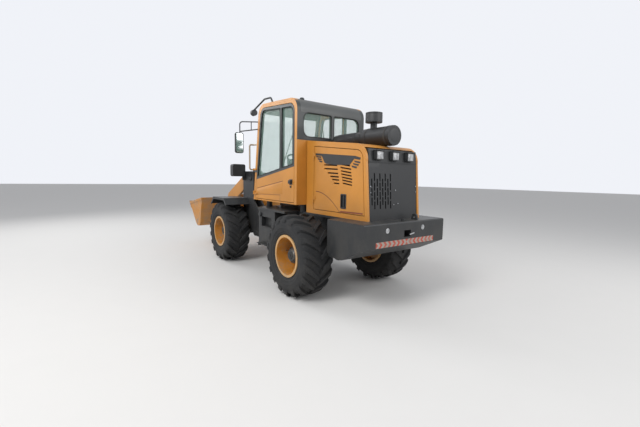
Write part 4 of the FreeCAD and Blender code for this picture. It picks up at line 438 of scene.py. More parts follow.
def seat_fabric(name):
    """Coarse woven seat cloth."""
    cover = Finish(name, rough=0.92)
    threads = 1500.0
    weave = (cover.y * threads).maths("SINE") * ((cover.x + cover.z) * threads).maths("SINE") * 0.5 + 0.5
    patch = cover.noise(11.0, 4.0)
    tone = cover.mix(weave * 0.5 + patch * 0.3, (0.020, 0.021, 0.024), (0.070, 0.072, 0.078))
    return cover.done(tone, 0.9, height=weave, strength=0.35, distance=0.0008)


def lamp_lens(name):
    """Ribbed clear lens over a bright reflector."""
    cover = Finish(name, rough=0.12, coat=0.6)
    across, up = ((axis * 420.0).maths("SINE") * 0.5 + 0.5 for axis in (cover.y, cover.z))
    rib = across * up
    spot = cover.noise(26.0, 3.0)
    tone = cover.mix(spot.over(0.5, 0.2) * 0.6 + rib * 0.4, (0.24, 0.245, 0.25), (0.70, 0.71, 0.72))
    return cover.done(tone, rib * 0.15 + 0.08, height=rib, strength=0.5)


def warning_strip(name):
    """Red and white arrow heads that point away from the middle."""
    cover = Finish(name, rough=0.35)
    lean = abs(cover.y - STRIP_MIDDLE_Y) + abs(cover.z - STRIP_MIDDLE_Z) * -0.9
    band = (lean / 0.072).maths("FRACT") > 0.5
    grime = cover.noise(20.0, 5.0, 0.65)
    tone = cover.mix(band, (0.36, 0.32, 0.28), hue("signal_red"))
    tone = cover.mix(grime.over(0.55, 0.12) * 0.55, tone, hue("dust"))
    return cover.done(tone, grime * 0.3 + 0.25)


def mirror_face(name):
    """Silvered glass with a slight haze."""
    cover = Finish(name, rough=0.05, metal=1.0)
    haze = cover.noise(9.0, 3.0)
    return cover.done(cover.mix(haze * 0.3, (0.78, 0.80, 0.81), (0.60, 0.62, 0.62)), haze * 0.08 + 0.03)


def bucket_paint(name):
    """Body paint rubbed through to bare steel and soil low in the bucket and along its edge."""
    cover = Finish(name, rough=0.5, coat=0.05)
    scratch = cover.noise(14.0, 6.0, 0.75, stretch=(1.0, 0.15, 1.0))
    patch = cover.noise(3.2, 5.0, 0.6)
    tone = cover.mix(patch.over(0.5, 0.2), shade(hue("body"), 0.82), hue("body"))
    bare = (scratch * 0.6 + patch * 0.5).over(0.60, 0.07)
    inside = cover.x.over(FRONT_X + 1.10, 0.05)
    tone = cover.mix(bare * (inside * 0.6 + 0.25), tone, (0.16, 0.145, 0.13))
    tone = cover.mix(patch.over(0.54, 0.14) * 0.5, tone, hue("dust"))
    return cover.done(tone, scratch * 0.3 + 0.38, height=scratch + patch, strength=0.2)


# Each finish: its maker, the material slot of the pieces added in it, and the CAD nodes that wear it
FINISH_TABLE = {
    "body_paint": (
        lambda name: paint(name, hue("body")), None, "boom rocker bucket_link lift_barrels tilt_barrel"
    ),
    "hood_side_paint": (hood_paint, None, "hood engine_door_left engine_door_right"),
    "cab_paint": (cab_paint, None, "cab_frame"),
    "door_paint": (door_paint, "body_yellow", "cab_door"),
    "roof_paint": (lambda name: dark_paint(name, hue("roof"), dust=0.5, dust_height=0.5), None, "cab_roof"),
    "frame_paint": (
        dark_paint,
        "frame_grey",
        "rear_frame counterweight tanks front_frame front_fenders steer_barrel_left steer_barrel_right",
    ),
    "guard_paint": (
        lambda name: dark_paint(name, (0.014, 0.015, 0.016), dust=0.10), None, "radiator_guard air_cleaner"
    ),
    "rail_paint": (lambda name: paint(name, hue("rail"), rough=0.45, dust_amount=0.3), None, "handrails"),
    "rim_paint": (rim_paint, None, "rim_front_left rim_front_right rim_rear_left rim_rear_right"),
    "tyre_rubber": (
        tyre_rubber, "tyre_rubber", "tyre_front_left tyre_front_right tyre_rear_left tyre_rear_right"
    ),
    "window_pane": (window_pane, None, "cab_glass door_glass"),
    "chrome_rod": (chrome, "rod_chrome", "lift_rods tilt_rod steer_rod_left steer_rod_right"),
    "cast_metal": (cast_metal, "driveline", "engine gearbox rear_propshaft front_propshaft rear_axle front_axle"),
    "black_plastic": (plastic, "trim_black", "seat_pedestal cab_controls mirrors headlamps rear_lamps roof_lamp"),
    "seat_fabric": (seat_fabric, "seat_cover", "seat"),
    "bucket_paint": (bucket_paint, None, "bucket"),
    "lamp_lens": (lamp_lens, "lamp_lens", ""),
    "warning_strip": (warning_strip, "lamp_lens", ""),
    "mirror_face": (mirror_face, "lamp_lens", ""),
    "rubber_seal": (lambda name: plastic(name, (0.014, 0.014, 0.015), rough=0.62), "trim_black", ""),
    "reflector_bowl": (
        lambda name: plastic(name, (0.55, 0.56, 0.57), rough=0.3, grain_scale=30.0), "lamp_shell", ""
    ),
    # Painted shade: a near-black finish for sheets set behind slots and louvres, where there is only shade.
    "dark_opening": (lambda name: plastic(name, (0.008, 0.008, 0.009), rough=0.85), "trim_black", ""),
}


def smooth_by_angle(mesh, degrees=32.0):
    """Smooth faces with hard edges kept where the surface turns sharply."""
    form = bmesh.new()
    form.from_mesh(mesh)
    limit = math.radians(degrees)
    for face in form.faces:
        face.smooth = True
    for edge in form.edges:
        edge.smooth = len(edge.link_faces) == 2 and edge.calc_face_angle(0.0) < limit
    form.to_mesh(mesh)
    form.free()


def mesh_of(name, form):
    """The form as a mesh; the form is freed."""
    mesh = bpy.data.meshes.new(name)
    form.to_mesh(mesh)
    form.free()
    return mesh


def new_object(name, mesh, material=None):
    item = bpy.data.objects.new(name, mesh)
    bpy.context.scene.collection.objects.link(item)
    if material:
        mesh.materials.clear()
        mesh.materials.append(finish(material))
    return item


def settle(item, body, replaces=()):
    """Puts a finished piece on its body and hides the CAD nodes that it replaces."""
    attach(item, body)
    if replaces:
        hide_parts(*replaces)
    return item


def add_piece(name, form, body="rear", material="black_plastic"):
    """A finished piece from a form: cleaned, shaded, on its body."""
    bmesh.ops.remove_doubles(form, verts=form.verts, dist=0.00002)
    bmesh.ops.recalc_face_normals(form, faces=form.faces)
    mesh = mesh_of(name, form)
    smooth_by_angle(mesh)
    return settle(new_object(name, mesh, material), body)


def add_block(form, low, high, bevel=0.0, segments=2):
    """A block between two corners, with rounded edges."""
    made = bmesh.ops.create_cube(form, size=1.0)["verts"]
    bmesh.ops.scale(form, vec=[abs(b - a) for a, b in zip(low, high)], verts=made)
    bmesh.ops.translate(form, vec=[(a + b) / 2 for a, b in zip(low, high)], verts=made)
    if bevel:
        edges = list({edge for vert in made for edge in vert.link_edges})
        made = bmesh.ops.bevel(
            form, geom=edges, offset=bevel, segments=segments, profile=0.5, affect="EDGES"
        )["verts"]
    return made


def add_turned_box(form, centre, along, out, half):
    """A block about a centre whose sides follow two directions in the XZ plane."""
    made = add_block(form, [-size for size in half], half, min(half) * 0.3)
    turn = Matrix((along, Vector((0, 1, 0)), out)).transposed()
    bmesh.ops.transform(form, matrix=Matrix.Translation(centre) @ turn.to_4x4(), verts=made)


def join_rings(form, rings, capped=False):
    """Faces between neighbouring rings of equal length, and over the first and last ring if capped."""
    count = len(rings[0])
    for one, two in zip(rings, rings[1:]):
        for i in range(count):
            j = (i + 1) % count
            form.faces.new([one[i], one[j], two[j], two[i]])
    if capped:
        form.faces.new(rings[0])
        form.faces.new(rings[-1])


def add_lathe(form, profile, centre, axis, segments=48, sign=1):
    """A turned shape from rows of (distance along the axis, radius), the distance times the sign.

    A profile that ends where it starts makes a ring, and a radius of 0 a closed tip.
    """
    looped = profile[0] == profile[-1]
    along = Vector([letter == axis for letter in "XYZ"])
    out = Vector((axis == "Z", 0, axis != "Z"))
    rings = []
    for distance, radius in profile[:-1] if looped else profile:
        spot = Vector(centre) + along * distance * sign
        turns = [Matrix.Rotation(2 * math.pi * i / segments, 3, along) for i in range(segments if radius else 1)]
        rings.append([form.verts.new(spot + turn @ (out * radius)) for turn in turns])
    for one, two in zip(rings, rings[1:] + rings[:1] if looped else rings[1:]):
        for i in range(segments):
            j = (i + 1) % segments
            corners = [one[i % len(one)], one[j % len(one)], two[j % len(two)], two[i % len(two)]]
            corners = list(dict.fromkeys(corners))
            if len(corners) > 2:
                form.faces.new(corners)
    for ring in () if looped else (rings[0], rings[-1]):
        if len(ring) > 2:
            form.faces.new(ring)


def add_plate(form, outline, low, high, plane="XZ"):
    """A flat plate from an outline in the XZ or YZ plane."""
    place = {"XZ": lambda u, v, w: (u, w, v), "YZ": lambda u, v, w: (w, u, v)}[plane]
    join_rings(form, [[form.verts.new(place(u, v, w)) for u, v in outline] for w in (low, high)], True)


def rounded_outline(half_wide, half_high, radius, steps=6):
    """A rectangle about the middle with round corners."""
    points = []
    for corner, (u, v) in enumerate(((1, 1), (-1, 1), (-1, -1), (1, -1))):
        for i in range(steps + 1):
            angle = math.pi / 2 * (corner + i / steps)
            u_centre, v_centre = u * (half_wide - radius), v * (half_high - radius)
            points.append((u_centre + radius * math.cos(angle), v_centre + radius * math.sin(angle)))
    return points


def add_relief(form, outline, low, high, slope):
    """A pressed panel in the XZ plane: its rim slopes in from the base to the raised face."""
    middle = Vector((sum(x for x, _ in outline), sum(z for _, z in outline))) / len(outline)
    rings = []
    for level, inset in ((low, 0.0), (high - 0.001, slope * 0.8), (high, slope * 1.3)):
        ring = []
        for i, here in enumerate(map(Vector, outline)):
            before, after = Vector(outline[i - 1]), Vector(outline[(i + 1) % len(outline)])
            way = (before - here).normalized() + (after - here).normalized()
            way = way.normalized() if way.length > 0.15 else (middle - here).normalized()
            spot = here + way * inset
            ring.append(form.verts.new((spot.x, level, spot.y)))
        rings.append(ring)
    join_rings(form, rings, True)


def add_bead(form, loop, normal, radius, sides=8):
    """A round bead along a closed flat loop, mitred at its corners."""
    angles = [2 * math.pi * j / sides for j in range(sides)]
    rings = []
    for i, here in enumerate(loop):
        before = (here - loop[i - 1]).normalized()
        after = (loop[(i + 1) % len(loop)] - here).normalized()
        way = (before + after).normalized()
        side = way.cross(normal).normalized() / max(0.35, way.dot(after))
        rings.append([form.verts.new(here + (side * math.cos(a) + normal * math.sin(a)) * radius) for a in angles])
    join_rings(form, rings + rings[:1])


def live_mesh(item):
    """A new mesh of what an object's modifiers or curve give."""
    bpy.context.view_layer.update()
    return bpy.data.meshes.new_from_object(item.evaluated_get(bpy.context.evaluated_depsgraph_get()))


def apply_modifiers(item):
    """Puts the mesh that the modifiers give in their place."""
    mesh, old = live_mesh(item), item.data
    item.modifiers.clear()
    item.data = mesh
    mesh.name = old.name
    bpy.data.meshes.remove(old)


def add_tube(form, points, radius, rounding=0.0):
    """A round tube along points, whose corners are rounded by a Bezier of that reach."""
    curve = bpy.data.curves.new("tube", "CURVE")
    curve.dimensions = "3D"
    curve.bevel_depth = radius
    curve.bevel_resolution = 4
    curve.use_fill_caps = True
    curve.resolution_u = 6
    line = curve.splines.new("BEZIER")
    stops = []
    points = [Vector(point) for point in points]
    for i, point in enumerate(points):
        if 0 < i < len(points) - 1 and rounding:
            before, after = ((points[j] - point).normalized() * rounding for j in (i - 1, i + 1))
            stops.append((point + before, point + before * 1.4, point + before * 0.45))
            stops.append((point + after, point + after * 0.45, point + after * 1.4))
        else:
            stops.append((point, None, None))
    line.bezier_points.add(len(stops) - 1)
    for knot, (place, left, right) in zip(line.bezier_points, stops):
        knot.co = place
        knot.handle_left_type = knot.handle_right_type = "VECTOR" if left is None else "FREE"
        if left is not None:
            knot.handle_left, knot.handle_right = left, right
    holder = bpy.data.objects.new("tube_path", curve)
    bpy.context.scene.collection.objects.link(holder)
    mesh = live_mesh(holder)
    form.from_mesh(mesh)
    bpy.data.objects.remove(holder)
    bpy.data.meshes.remove(mesh)


def puffed_pad(name, half, place, turn, swell=0.012, corner=0.045, fold=0.014):
    """A cushion about its middle, blown up between its edge seams and two sewn lines, then put in its place."""
    form = bmesh.new()
    levels = [(-half[2], fold), (-half[2] + 0.3 * fold, 0.3 * fold), (-half[2] + fold, 0.0)]
    levels += [(-level, inset) for level, inset in reversed(levels)]
    rings = []
    for level, inset in levels:
        outline = rounded_outline(half[0] - inset, half[1] - inset, corner - inset)
        rings.append([form.verts.new((u, v, level)) for u, v in outline])
    join_rings(form, rings, True)
    bmesh.ops.recalc_face_normals(form, faces=form.faces)
    item = new_object(name, mesh_of(name, form))
    remesh = item.modifiers.new("remesh", "REMESH")
    remesh.mode = "VOXEL"
    remesh.voxel_size = 0.006
    apply_modifiers(item)
    before = [vert.co.copy() for vert in item.data.vertices]
    held = []
    for i, spot in enumerate(before):
        out = Vector((abs(spot.x) - half[0] + corner, abs(spot.y) - half[1] + corner))
        inward = corner - Vector((max(out.x, 0), max(out.y, 0))).length - min(max(out.x, out.y), 0)
        under = half[2] - abs(spot.z)
        sewn = spot.z > 0 and under < 0.004 and abs(abs(spot.x) - 0.34 * half[0]) < 0.0045
        if inward + under < 0.75 * fold or sewn or spot.z < 0.003 - half[2]:
            held.append(i)
    item.vertex_groups.new(name="seams").add(held, 1.0, "REPLACE")
    cloth = item.modifiers.new("cloth", "CLOTH")
    cloth.settings.vertex_group_mass = "seams"
    cloth.settings.use_pressure = True
    cloth.settings.uniform_pressure_force = 4.0
    cloth.settings.effector_weights.gravity = 0.0
    cloth.collision_settings.use_collision = False
    cloth.point_cache.frame_start, cloth.point_cache.frame_end = 1, 20
    for frame in range(1, 21):
        bpy.context.scene.frame_set(frame)
    apply_modifiers(item)
    bpy.context.scene.frame_set(1)
    for vert, start in zip(item.data.vertices, before):
        move = vert.co - start
        vert.co = start + move * min(1.0, swell / max(move.length, 1e-9))
    item.vertex_groups.clear()
    finer = item.modifiers.new("finer", "SUBSURF")
    finer.levels = finer.render_levels = 1
    apply_modifiers(item)
    item.data.transform(Matrix.Translation(place) @ turn.to_4x4())
    item.data.shade_smooth()
    item.data.materials.append(finish("seat_fabric"))
    return item


def pane_loops(node):
    """The outline of each flat pane of a glass node and the way it faces, for both of its faces."""
    form = bmesh.new()
    form.from_mesh(NODES[node].data)
    bmesh.ops.remove_doubles(form, verts=form.verts, dist=0.00005)
    unseen = dict.fromkeys(form.faces)
    found = []
    while unseen:
        stack = [unseen.popitem()[0]]
        flat = {}
        while stack:
            face = stack.pop()
            flat[face] = True
            for other in [other for edge in face.edges for other in edge.link_faces]:
                if other in unseen and other.normal.dot(face.normal) > 0.9999:
                    del unseen[other]
                    stack.append(other)
        if sum(face.calc_area() for face in flat) < 0.05:
            continue
        links = {}
        for edge in [edge for face in flat for edge in face.edges]:
            if sum(other in flat for other in edge.link_faces) == 1:
                one, two = edge.verts
                links.setdefault(one, []).append(two)
                links.setdefault(two, []).append(one)
        loop = [next(iter(links))]
        while len(loop) < len(links):
            loop.append(next(vert for vert in links[loop[-1]] if vert not in loop[-2:]))
        found.append(([vert.co.copy() for vert in loop], next(iter(flat)).normal.copy()))
    form.free()
    return found


def growing_tree(make, inputs):
    """A geometry tree with named inputs, made once; make gives the instances that it ends in."""
    name = make.__name__
    if name in bpy.data.node_groups:
        return bpy.data.node_groups[name]
    tree = bpy.data.node_groups.new(name, "GeometryNodeTree")
    for way in ("INPUT", "OUTPUT"):
        tree.interface.new_socket(name="Geometry", in_out=way, socket_type="NodeSocketGeometry")
    for label, kind, default in inputs:
        tree.interface.new_socket(name=label, in_out="INPUT", socket_type=kind).default_value = default
    tree.interface.new_socket(name="Material", in_out="INPUT", socket_type="NodeSocketMaterial")
    given = add_node(tree, "NodeGroupInput").outputs
    real = add_node(tree, "GeometryNodeRealizeInstances", Geometry=make(tree, given).outputs[0])
    dressed = add_node(
        tree, "GeometryNodeSetMaterial", Geometry=real.outputs[0], Material=given["Material"]
    )
    add_node(tree, "NodeGroupOutput", Geometry=dressed.outputs[0])
    return tree


def on_points(tree, dots, instance, turn):
    return add_node(
        tree,
        "GeometryNodeInstanceOnPoints",
        Points=dots.outputs[0],
        Instance=instance,
        Rotation=turn.outputs[0],
    )


def ring_of_copies(tree, given):
    """Copies of the incoming mesh turned about the Y axis."""
    count = Value(tree, given["Count"])
    index = Value(tree, add_node(tree, "GeometryNodeInputIndex").outputs[0])
    angle = index / count * (2 * math.pi) + Value(tree, given["First Angle"])
    turn = add_node(tree, "ShaderNodeCombineXYZ", n1=angle)
    return on_points(tree, add_node(tree, "GeometryNodePoints", Count=count), given["Geometry"], turn)


def heads_on_points(tree, given):
    """A hexagon or round head at each vertex, turned to its facing attribute."""
    sockets = {"Vertices": "Sides", "Radius Top": "Top Radius", "Radius Bottom": "Radius", "Depth": "Height"}
    head = add_node(tree, "GeometryNodeMeshCone", **{key: given[label] for key, label in sockets.items()})
    facing = add_node(tree, "GeometryNodeInputNamedAttribute", {"data_type": "FLOAT_VECTOR"}, Name="facing")
    turn = add_node(tree, "FunctionNodeAlignRotationToVector", {"axis": "Z"}, Vector=facing.outputs[0])
    dots = add_node(tree, "GeometryNodeMeshToPoints", Mesh=given["Geometry"])
    return on_points(tree, dots, head.outputs[0], turn)


RING_INPUTS = (("Count", "NodeSocketInt", 12), ("First Angle", "NodeSocketFloat", 0.0))
HEAD_INPUTS = (
    ("Sides", "NodeSocketInt", 6),
    ("Radius", "NodeSocketFloat", 0.01),
    ("Top Radius", "NodeSocketFloat", 0.009),
    ("Height", "NodeSocketFloat", 0.006),
)


def grown(name, mesh, tree, material, values):
    """The mesh that a geometry tree makes, as a plain object at the origin."""
    item = new_object(name, mesh)
    change = item.modifiers.new("grow", "NODES")
    change.node_group = tree
    known = {socket.name: socket.identifier for socket in tree.interface.items_tree if socket.in_out == "INPUT"}
    for label, number in {**values, "Material": finish(material)}.items():
        change[known[label]] = number
    apply_modifiers(item)
    return item


def bolt_rows(name, rows, body="rear", material="frame_paint", radius=None, height=0.008, sides=6):
    """Bolt heads at rows of (place, facing) on one body."""
    mesh = bpy.data.meshes.new(name)
    mesh.from_pydata([tuple(place) for place, _ in rows], [], [])
    facing = mesh.attributes.new("facing", "FLOAT_VECTOR", "POINT")
    facing.data.foreach_set("vector", [part for _, way in rows for part in way])
    radius = radius or sizes().bolt_radius
    values = {"Sides": sides, "Radius": radius, "Top Radius": radius * 0.9, "Height": height}
    settle(grown(name, mesh, growing_tree(heads_on_points, HEAD_INPUTS), material, values), body)


def bolt_circle(x, y, z, radius, count, start, sign):
    """Rows for bolts on a circle about a cross axis; start is the first one's angle, in steps."""
    angles = [2 * math.pi * (i + start) / count for i in range(count)]
    return [((x + radius * math.cos(a), sign * y, z + radius * math.sin(a)), (0, sign, 0)) for a in angles]


class PieceOperator(bpy.types.Operator):
    """Shared behaviour of the loader's operators."""

    bl_options = {"REGISTER", "UNDO"}

    def execute(self, context):
        self.make()
        return {"FINISHED"}


class LOADER_OT_paint_nodes(PieceOperator):
    """Gives each CAD node the finish of the real one"""

    bl_idname = "loader.paint_nodes"
    bl_label = "Paint the CAD nodes"

    def make(self):
        for name, (_, _, nodes) in FINISH_TABLE.items():
            for node in nodes.split():
                slots = NODES[node].data.materials
                slots.clear()
                slots.append(finish(name))


class LOADER_OT_tyres(PieceOperator):
    """Tyres with side wall ribs and leaning tread bars"""

    bl_idname = "loader.tyres"
    bl_label = "Tyres"

    HALF_WIDE = 0.205
    # The side wall and the tread bar, as rows of (distance from the middle, radius)
    WALL = (
        (0.170, 0.2545), (0.172, 0.278), (0.181, 0.290), (0.1855, 0.2915), (0.1875, 0.296), (0.1855, 0.300),
        (0.187, 0.304), (0.192, 0.318), (0.1945, 0.3195), (0.1955, 0.323), (0.1945, 0.3265), (0.198, 0.338),
        (0.2025, 0.362), (0.2045, 0.3635), (0.205, 0.368), (0.2040, 0.3725), (0.2045, 0.392), (0.2040, 0.412),
        (0.200, 0.432), (0.196, 0.448),
    )
    LUG = (
        (0.006, 0.5350), (0.05, 0.5345), (0.095, 0.5330), (0.14, 0.5290), (0.172, 0.5210), (0.192, 0.5050),
        (0.203, 0.4700), (0.205, 0.4420),
    )

    def make(self):
        count = sizes().lug_count
        ring = growing_tree(ring_of_copies, RING_INPUTS)
        values = {"Count": count, "First Angle": math.pi / 2 / count}
        for wheel, axle, sign in WHEELS:
            centre = (axle, sign * WHEEL_Y, TYRE_RADIUS)
            lugs = grown(f"lugs_{wheel}", self.lug(count), ring, "tyre_rubber", values)
            if sign < 0:
                lugs.data.transform(Matrix.Scale(-1, 4, (0, 1, 0)))
                lugs.data.flip_normals()
            lugs.data.transform(Matrix.Translation(centre))
            form = bmesh.new()
            carcass = self.carcass(centre)
            for mesh in (lugs.data, carcass):
                form.from_mesh(mesh)
            bpy.data.objects.remove(lugs)
            bpy.data.meshes.remove(carcass)
            name = f"treaded_tyre_{wheel}"
            item = new_object(name, mesh_of(name, form), "tyre_rubber")
            settle(item, f"wheel_{wheel}", (f"tyre_{wheel}",))

    def radius_at(self, across):
        """The carcass's radius at a distance across from its middle, between lugs."""
        share = min(1.0, abs(across) / self.HALF_WIDE)
        return TYRE_RADIUS - sizes().lug_height - 0.030 * share**2 - 0.075 * max(0.0, share - 0.72) ** 1.5

    def carcass(self, centre):
        """A full ring with beads, side wall ribs and a crowned tread base."""
        crown = [(across, self.radius_at(across)) for across in (0.188, 0.165, 0.135, 0.095, 0.045)]
        half = [*self.WALL, *crown]
        profile = [(-across, radius) for across, radius in half] + [(0.0, self.radius_at(0.0))] + half[::-1]
        form = bmesh.new()
        add_lathe(form, profile + profile[:1], centre, "Y", 72)
        return self.smooth("carcass", form)

    def lug(self, count):
        """One tread bar on each half: from the middle it leans back and runs over the shoulder."""
        form = bmesh.new()
        for sign, lead in ((1, 0.0), (-1, -math.pi / count)):
            rows = []
            for across, top in self.LUG:
                share = across / self.HALF_WIDE
                lean = 0.34 * share**0.9
                half = (0.020 + 0.016 * share) / TYRE_RADIUS
                base = min(self.radius_at(across), top) - 0.006
                corners = ((base, half * 1.35), (top, half), (top, -half), (base, -half * 1.35))
                turned = [(radius, lead + lean + width) for radius, width in corners]
                rows.append([form.verts.new((r * math.sin(a), sign * across, r * math.cos(a))) for r, a in turned])
            join_rings(form, rows, True)
        edges = [edge for edge in form.edges if len(edge.link_faces) == 2 and edge.calc_face_angle(0) > 0.6]
        bmesh.ops.bevel(form, geom=edges, offset=0.004, segments=2, profile=0.6, affect="EDGES")
        return self.smooth("lug", form)

    def smooth(self, name, form):
        bmesh.ops.recalc_face_normals(form, faces=form.faces)
        mesh = mesh_of(name, form)
        smooth_by_angle(mesh, 40.0)
        return mesh


class LOADER_OT_wheel_fasteners(PieceOperator):
    """Wheel nuts, hub bolts, hub cap and valve on each rim"""

    bl_idname = "loader.wheel_fasteners"
    bl_label = "Wheel fasteners"

    DISC_Y, HUB_FACE_Y, HUB_END_Y = 0.672, 0.8135, 0.8495

    def make(self):
        for wheel, axle, sign in WHEELS:
            body = f"wheel_{wheel}"
            rows = bolt_circle(axle, self.DISC_Y, TYRE_RADIUS, 0.165, sizes().wheel_nuts, 0.25, sign)
            rows += bolt_circle(axle, self.HUB_FACE_Y, TYRE_RADIUS, 0.092, 8, 0.25, sign)
            bolt_rows(f"wheel_nuts_{wheel}", rows, body, "cast_metal", radius=0.013, height=0.016)
            form = bmesh.new()
            cap = [(0.0, 0.050), (0.006, 0.050), (0.012, 0.044), (0.012, 0.020), (0.020, 0.018), (0.020, 0.0)]
            add_lathe(form, cap, (axle, sign * self.HUB_END_Y, TYRE_RADIUS), "Y", 32, sign)
            add_piece(f"hub_cap_{wheel}", form, body, "cast_metal")
            form = bmesh.new()
            valve = ((0.236, 0.700), (0.215, 0.74), (0.212, 0.79))
            add_tube(form, [(axle + x, sign * y, TYRE_RADIUS + 0.02) for x, y in valve], 0.0055, 0.02)
            add_piece(f"valve_{wheel}", form, body)


class LOADER_OT_hood_trim(PieceOperator):
    """Side plates, dark sheets of painted shade behind the louvres, and recessed pulls on the engine doors"""

    bl_idname = "loader.hood_trim"
    bl_label = "Hood trim"

    # Places on the hood's side, as (distance ahead of the rear axle, height): the plate, bars as their
    # front, back and half thickness, and painted shade sheets behind the louvres as back, front, low and high
    WING = (
        (0.030, 1.866), (-0.10, 1.856), (-0.75, 1.800), (-0.846, 1.776), (-0.83, 1.752), (-0.735, 1.768),
        (-0.660, 1.700), (-0.40, 1.704), (-0.20, 1.722), (-0.165, 1.740), (-0.105, 1.826), (0.030, 1.840),
    )
    BARS = (
        ((0.020, 1.822), (-0.095, 1.810), 0.009),
        ((-0.010, 1.792), (-0.105, 1.780), 0.009),
        ((-0.045, 1.762), (-0.12, 1.750), 0.009),
        ((-0.735, 1.738), (-0.840, 1.722), 0.009),
        ((-0.715, 1.710), (-0.815, 1.694), 0.009),
        ((-0.69, 1.682), (-0.785, 1.666), 0.010),
    )
    SCREENS = ((-0.49, -0.14, 1.455, 1.775), (-0.72, -0.455, 1.435, 1.735))

    def make(self):
        for side, sign in SIDES:
            face = sign * HOOD_SIDE_Y
            outlines = [self.WING]
            for (front, high), (back, low), half in self.BARS:
                outlines.append(
                    ((front, high + half), (back, low + half), (back + 0.010, low - half), (front - 0.010, high - half))
                )
            form = bmesh.new()
            for outline in outlines:
                add_plate(form, [(REAR_X + x, z) for x, z in outline], face - sign * 0.001, face + sign * 0.003)
            add_piece(f"side_plate_{side}", form, f"engine_door_{side}")
            form = bmesh.new()
            # Painted shade: near-black sheets just inside the door behind the louvre slots, for the shade in the engine
            # bay.
            for back, front, low, high in self.SCREENS:
                add_block(
                    form, (REAR_X + back, face - sign * 0.022, low), (REAR_X + front, face - sign * 0.020, high)
                )
            add_piece(f"louvre_screens_{side}", form, f"engine_door_{side}", "dark_opening")
            self.pull(side, sign, face)

    def pull(self, side, sign, face):
        """Black liner, bar and lock of the recessed pull, with its raised bezel."""
        middle_x, middle_z = REAR_X - 0.556, 1.262
        corner, taller = 0.015, 0.036

        def outline(half):
            return [(middle_x + u, middle_z + v) for u, v in rounded_outline(half, half + taller, corner)]

        form = bmesh.new()
        for inner, outer, depth, rise in ((0.0405, 0.0415, 0.0155, 0.000), (0.0405, 0.054, 0.001, 0.004)):
            rings = []
            for half, level in ((inner, -depth), (outer, -depth), (outer, rise), (inner, rise)):
                rings.append([form.verts.new((x, face + sign * level, z)) for x, z in outline(half)])
            join_rings(form, rings + rings[:1])
        add_plate(form, outline(0.0412), face - sign * 0.0158, face - sign * 0.0145)
        bar = [(-0.074, 0.0), (-0.074, 0.0072), (0.074, 0.0072), (0.074, 0.0)]
        add_lathe(form, bar, (middle_x, face - sign * 0.008, middle_z), "Z", 16)
        lock = [(-0.014, 0.013), (-0.002, 0.013), (-0.002, 0.0)]
        add_lathe(form, lock, (middle_x, face, middle_z + 0.052), "Y", 20, sign)
        add_piece(f"pull_{side}", form, f"engine_door_{side}")


class LOADER_OT_lamps(PieceOperator):
    """Ribbed lenses and bright bowls of the work lamps, head lamps, roof lamp and tail lamps"""

    bl_idname = "loader.lamps"
    bl_label = "Lamps"

    HEADS = [(FRONT_X - 0.120, y, 1.655) for y in (0.575, 0.685, -0.575, -0.685)]
    ROOF = [(REAR_X + 1.840, 0.505, 2.635)]
    TAILS = [(WEIGHT_REAR_X, y, 0.975) for y in (0.329, -0.283)]
    # Profiles turned about the X axis, as (distance ahead of the lamp's mouth, radius)
    LENS = ((-0.0085, 0.039), (-0.004, 0.039), (0.0005, 0.02275), (0.0015, 0.0))
    BOWL = ((-0.0085, 0.0455), (0.001, 0.0455), (0.002, 0.0425), (0.0, 0.0395), (-0.0085, 0.0385), (-0.0085, 0.0455))
    TAIL_LENS = ((0.0085, 0.030), (0.0035, 0.030), (0.001, 0.018), (0.0004, 0.0))
    TAIL_RIM = (
        (0.0085, 0.0392), (0.0008, 0.0392), (0.0001, 0.034), (0.002, 0.0305), (0.0085, 0.0305), (0.0085, 0.0392),
    )
    # Name, body, material, places, segments, profile
    TURNED = (
        ("head_lamp_lenses", "front", "lamp_lens", HEADS, 40, LENS),
        ("head_lamp_rings", "front", "reflector_bowl", HEADS, 40, BOWL),
        ("roof_lamp_lens", "rear", "lamp_lens", ROOF, 40, LENS),
        ("roof_lamp_ring", "rear", "reflector_bowl", ROOF, 40, BOWL),
        ("tail_lamp_lenses", "rear", "lamp_lens", TAILS, 36, TAIL_LENS),
        ("tail_lamp_rims", "rear", "black_plastic", TAILS, 36, TAIL_RIM),
    )

    def make(self):
        low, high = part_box("rear_lamps")
        form = bmesh.new()
        for y in (0.265, 0.0, -0.265):
            corner = (low.x + 0.0175, y - 0.0515, low.z + 0.011)
            add_block(form, corner, (low.x + 0.0215, y + 0.0515, high.z - 0.015), 0.0015)
        add_piece("work_lamp_lenses", form, "rear", "lamp_lens")
        for name, body, material, places, segments, profile in self.TURNED:
            form = bmesh.new()
            for place in places:
                add_lathe(form, profile, place, "X", segments)
            add_piece(name, form, body, material)


class LOADER_OT_counterweight_trim(PieceOperator):
    """Warning strip and the tab of the tow pin on the counterweight"""

    bl_idname = "loader.counterweight_trim"
    bl_label = "Counterweight trim"

    def make(self):
        for name, outline, material in (
            ("warning_strip", ((-0.49, 0.793), (0.51, 0.793), (0.51, 0.858), (-0.49, 0.858)), "warning_strip"),
            ("tow_pin_tab", ((-0.045, 0.898), (-0.125, 0.912), (-0.125, 0.926), (-0.045, 0.912)), "chrome_rod"),
        ):
            form = bmesh.new()
            add_plate(form, outline, WEIGHT_REAR_X - 0.0005, WEIGHT_REAR_X + 0.001, "YZ")
            add_piece(name, form, "rear", material)


class LOADER_OT_window_seals(PieceOperator):
    """Rubber beads along the edge of every window opening"""

    bl_idname = "loader.window_seals"
    bl_label = "Window seals"

    def make(self):
        for node, body in (("cab_glass", "rear"), ("door_glass", "cab_door")):
            form = bmesh.new()
            for loop, normal in pane_loops(node):
                add_bead(form, [point + normal * 0.0185 for point in loop], normal, 0.0065)
            add_piece(f"seals_of_{node}", form, body, "rubber_seal")


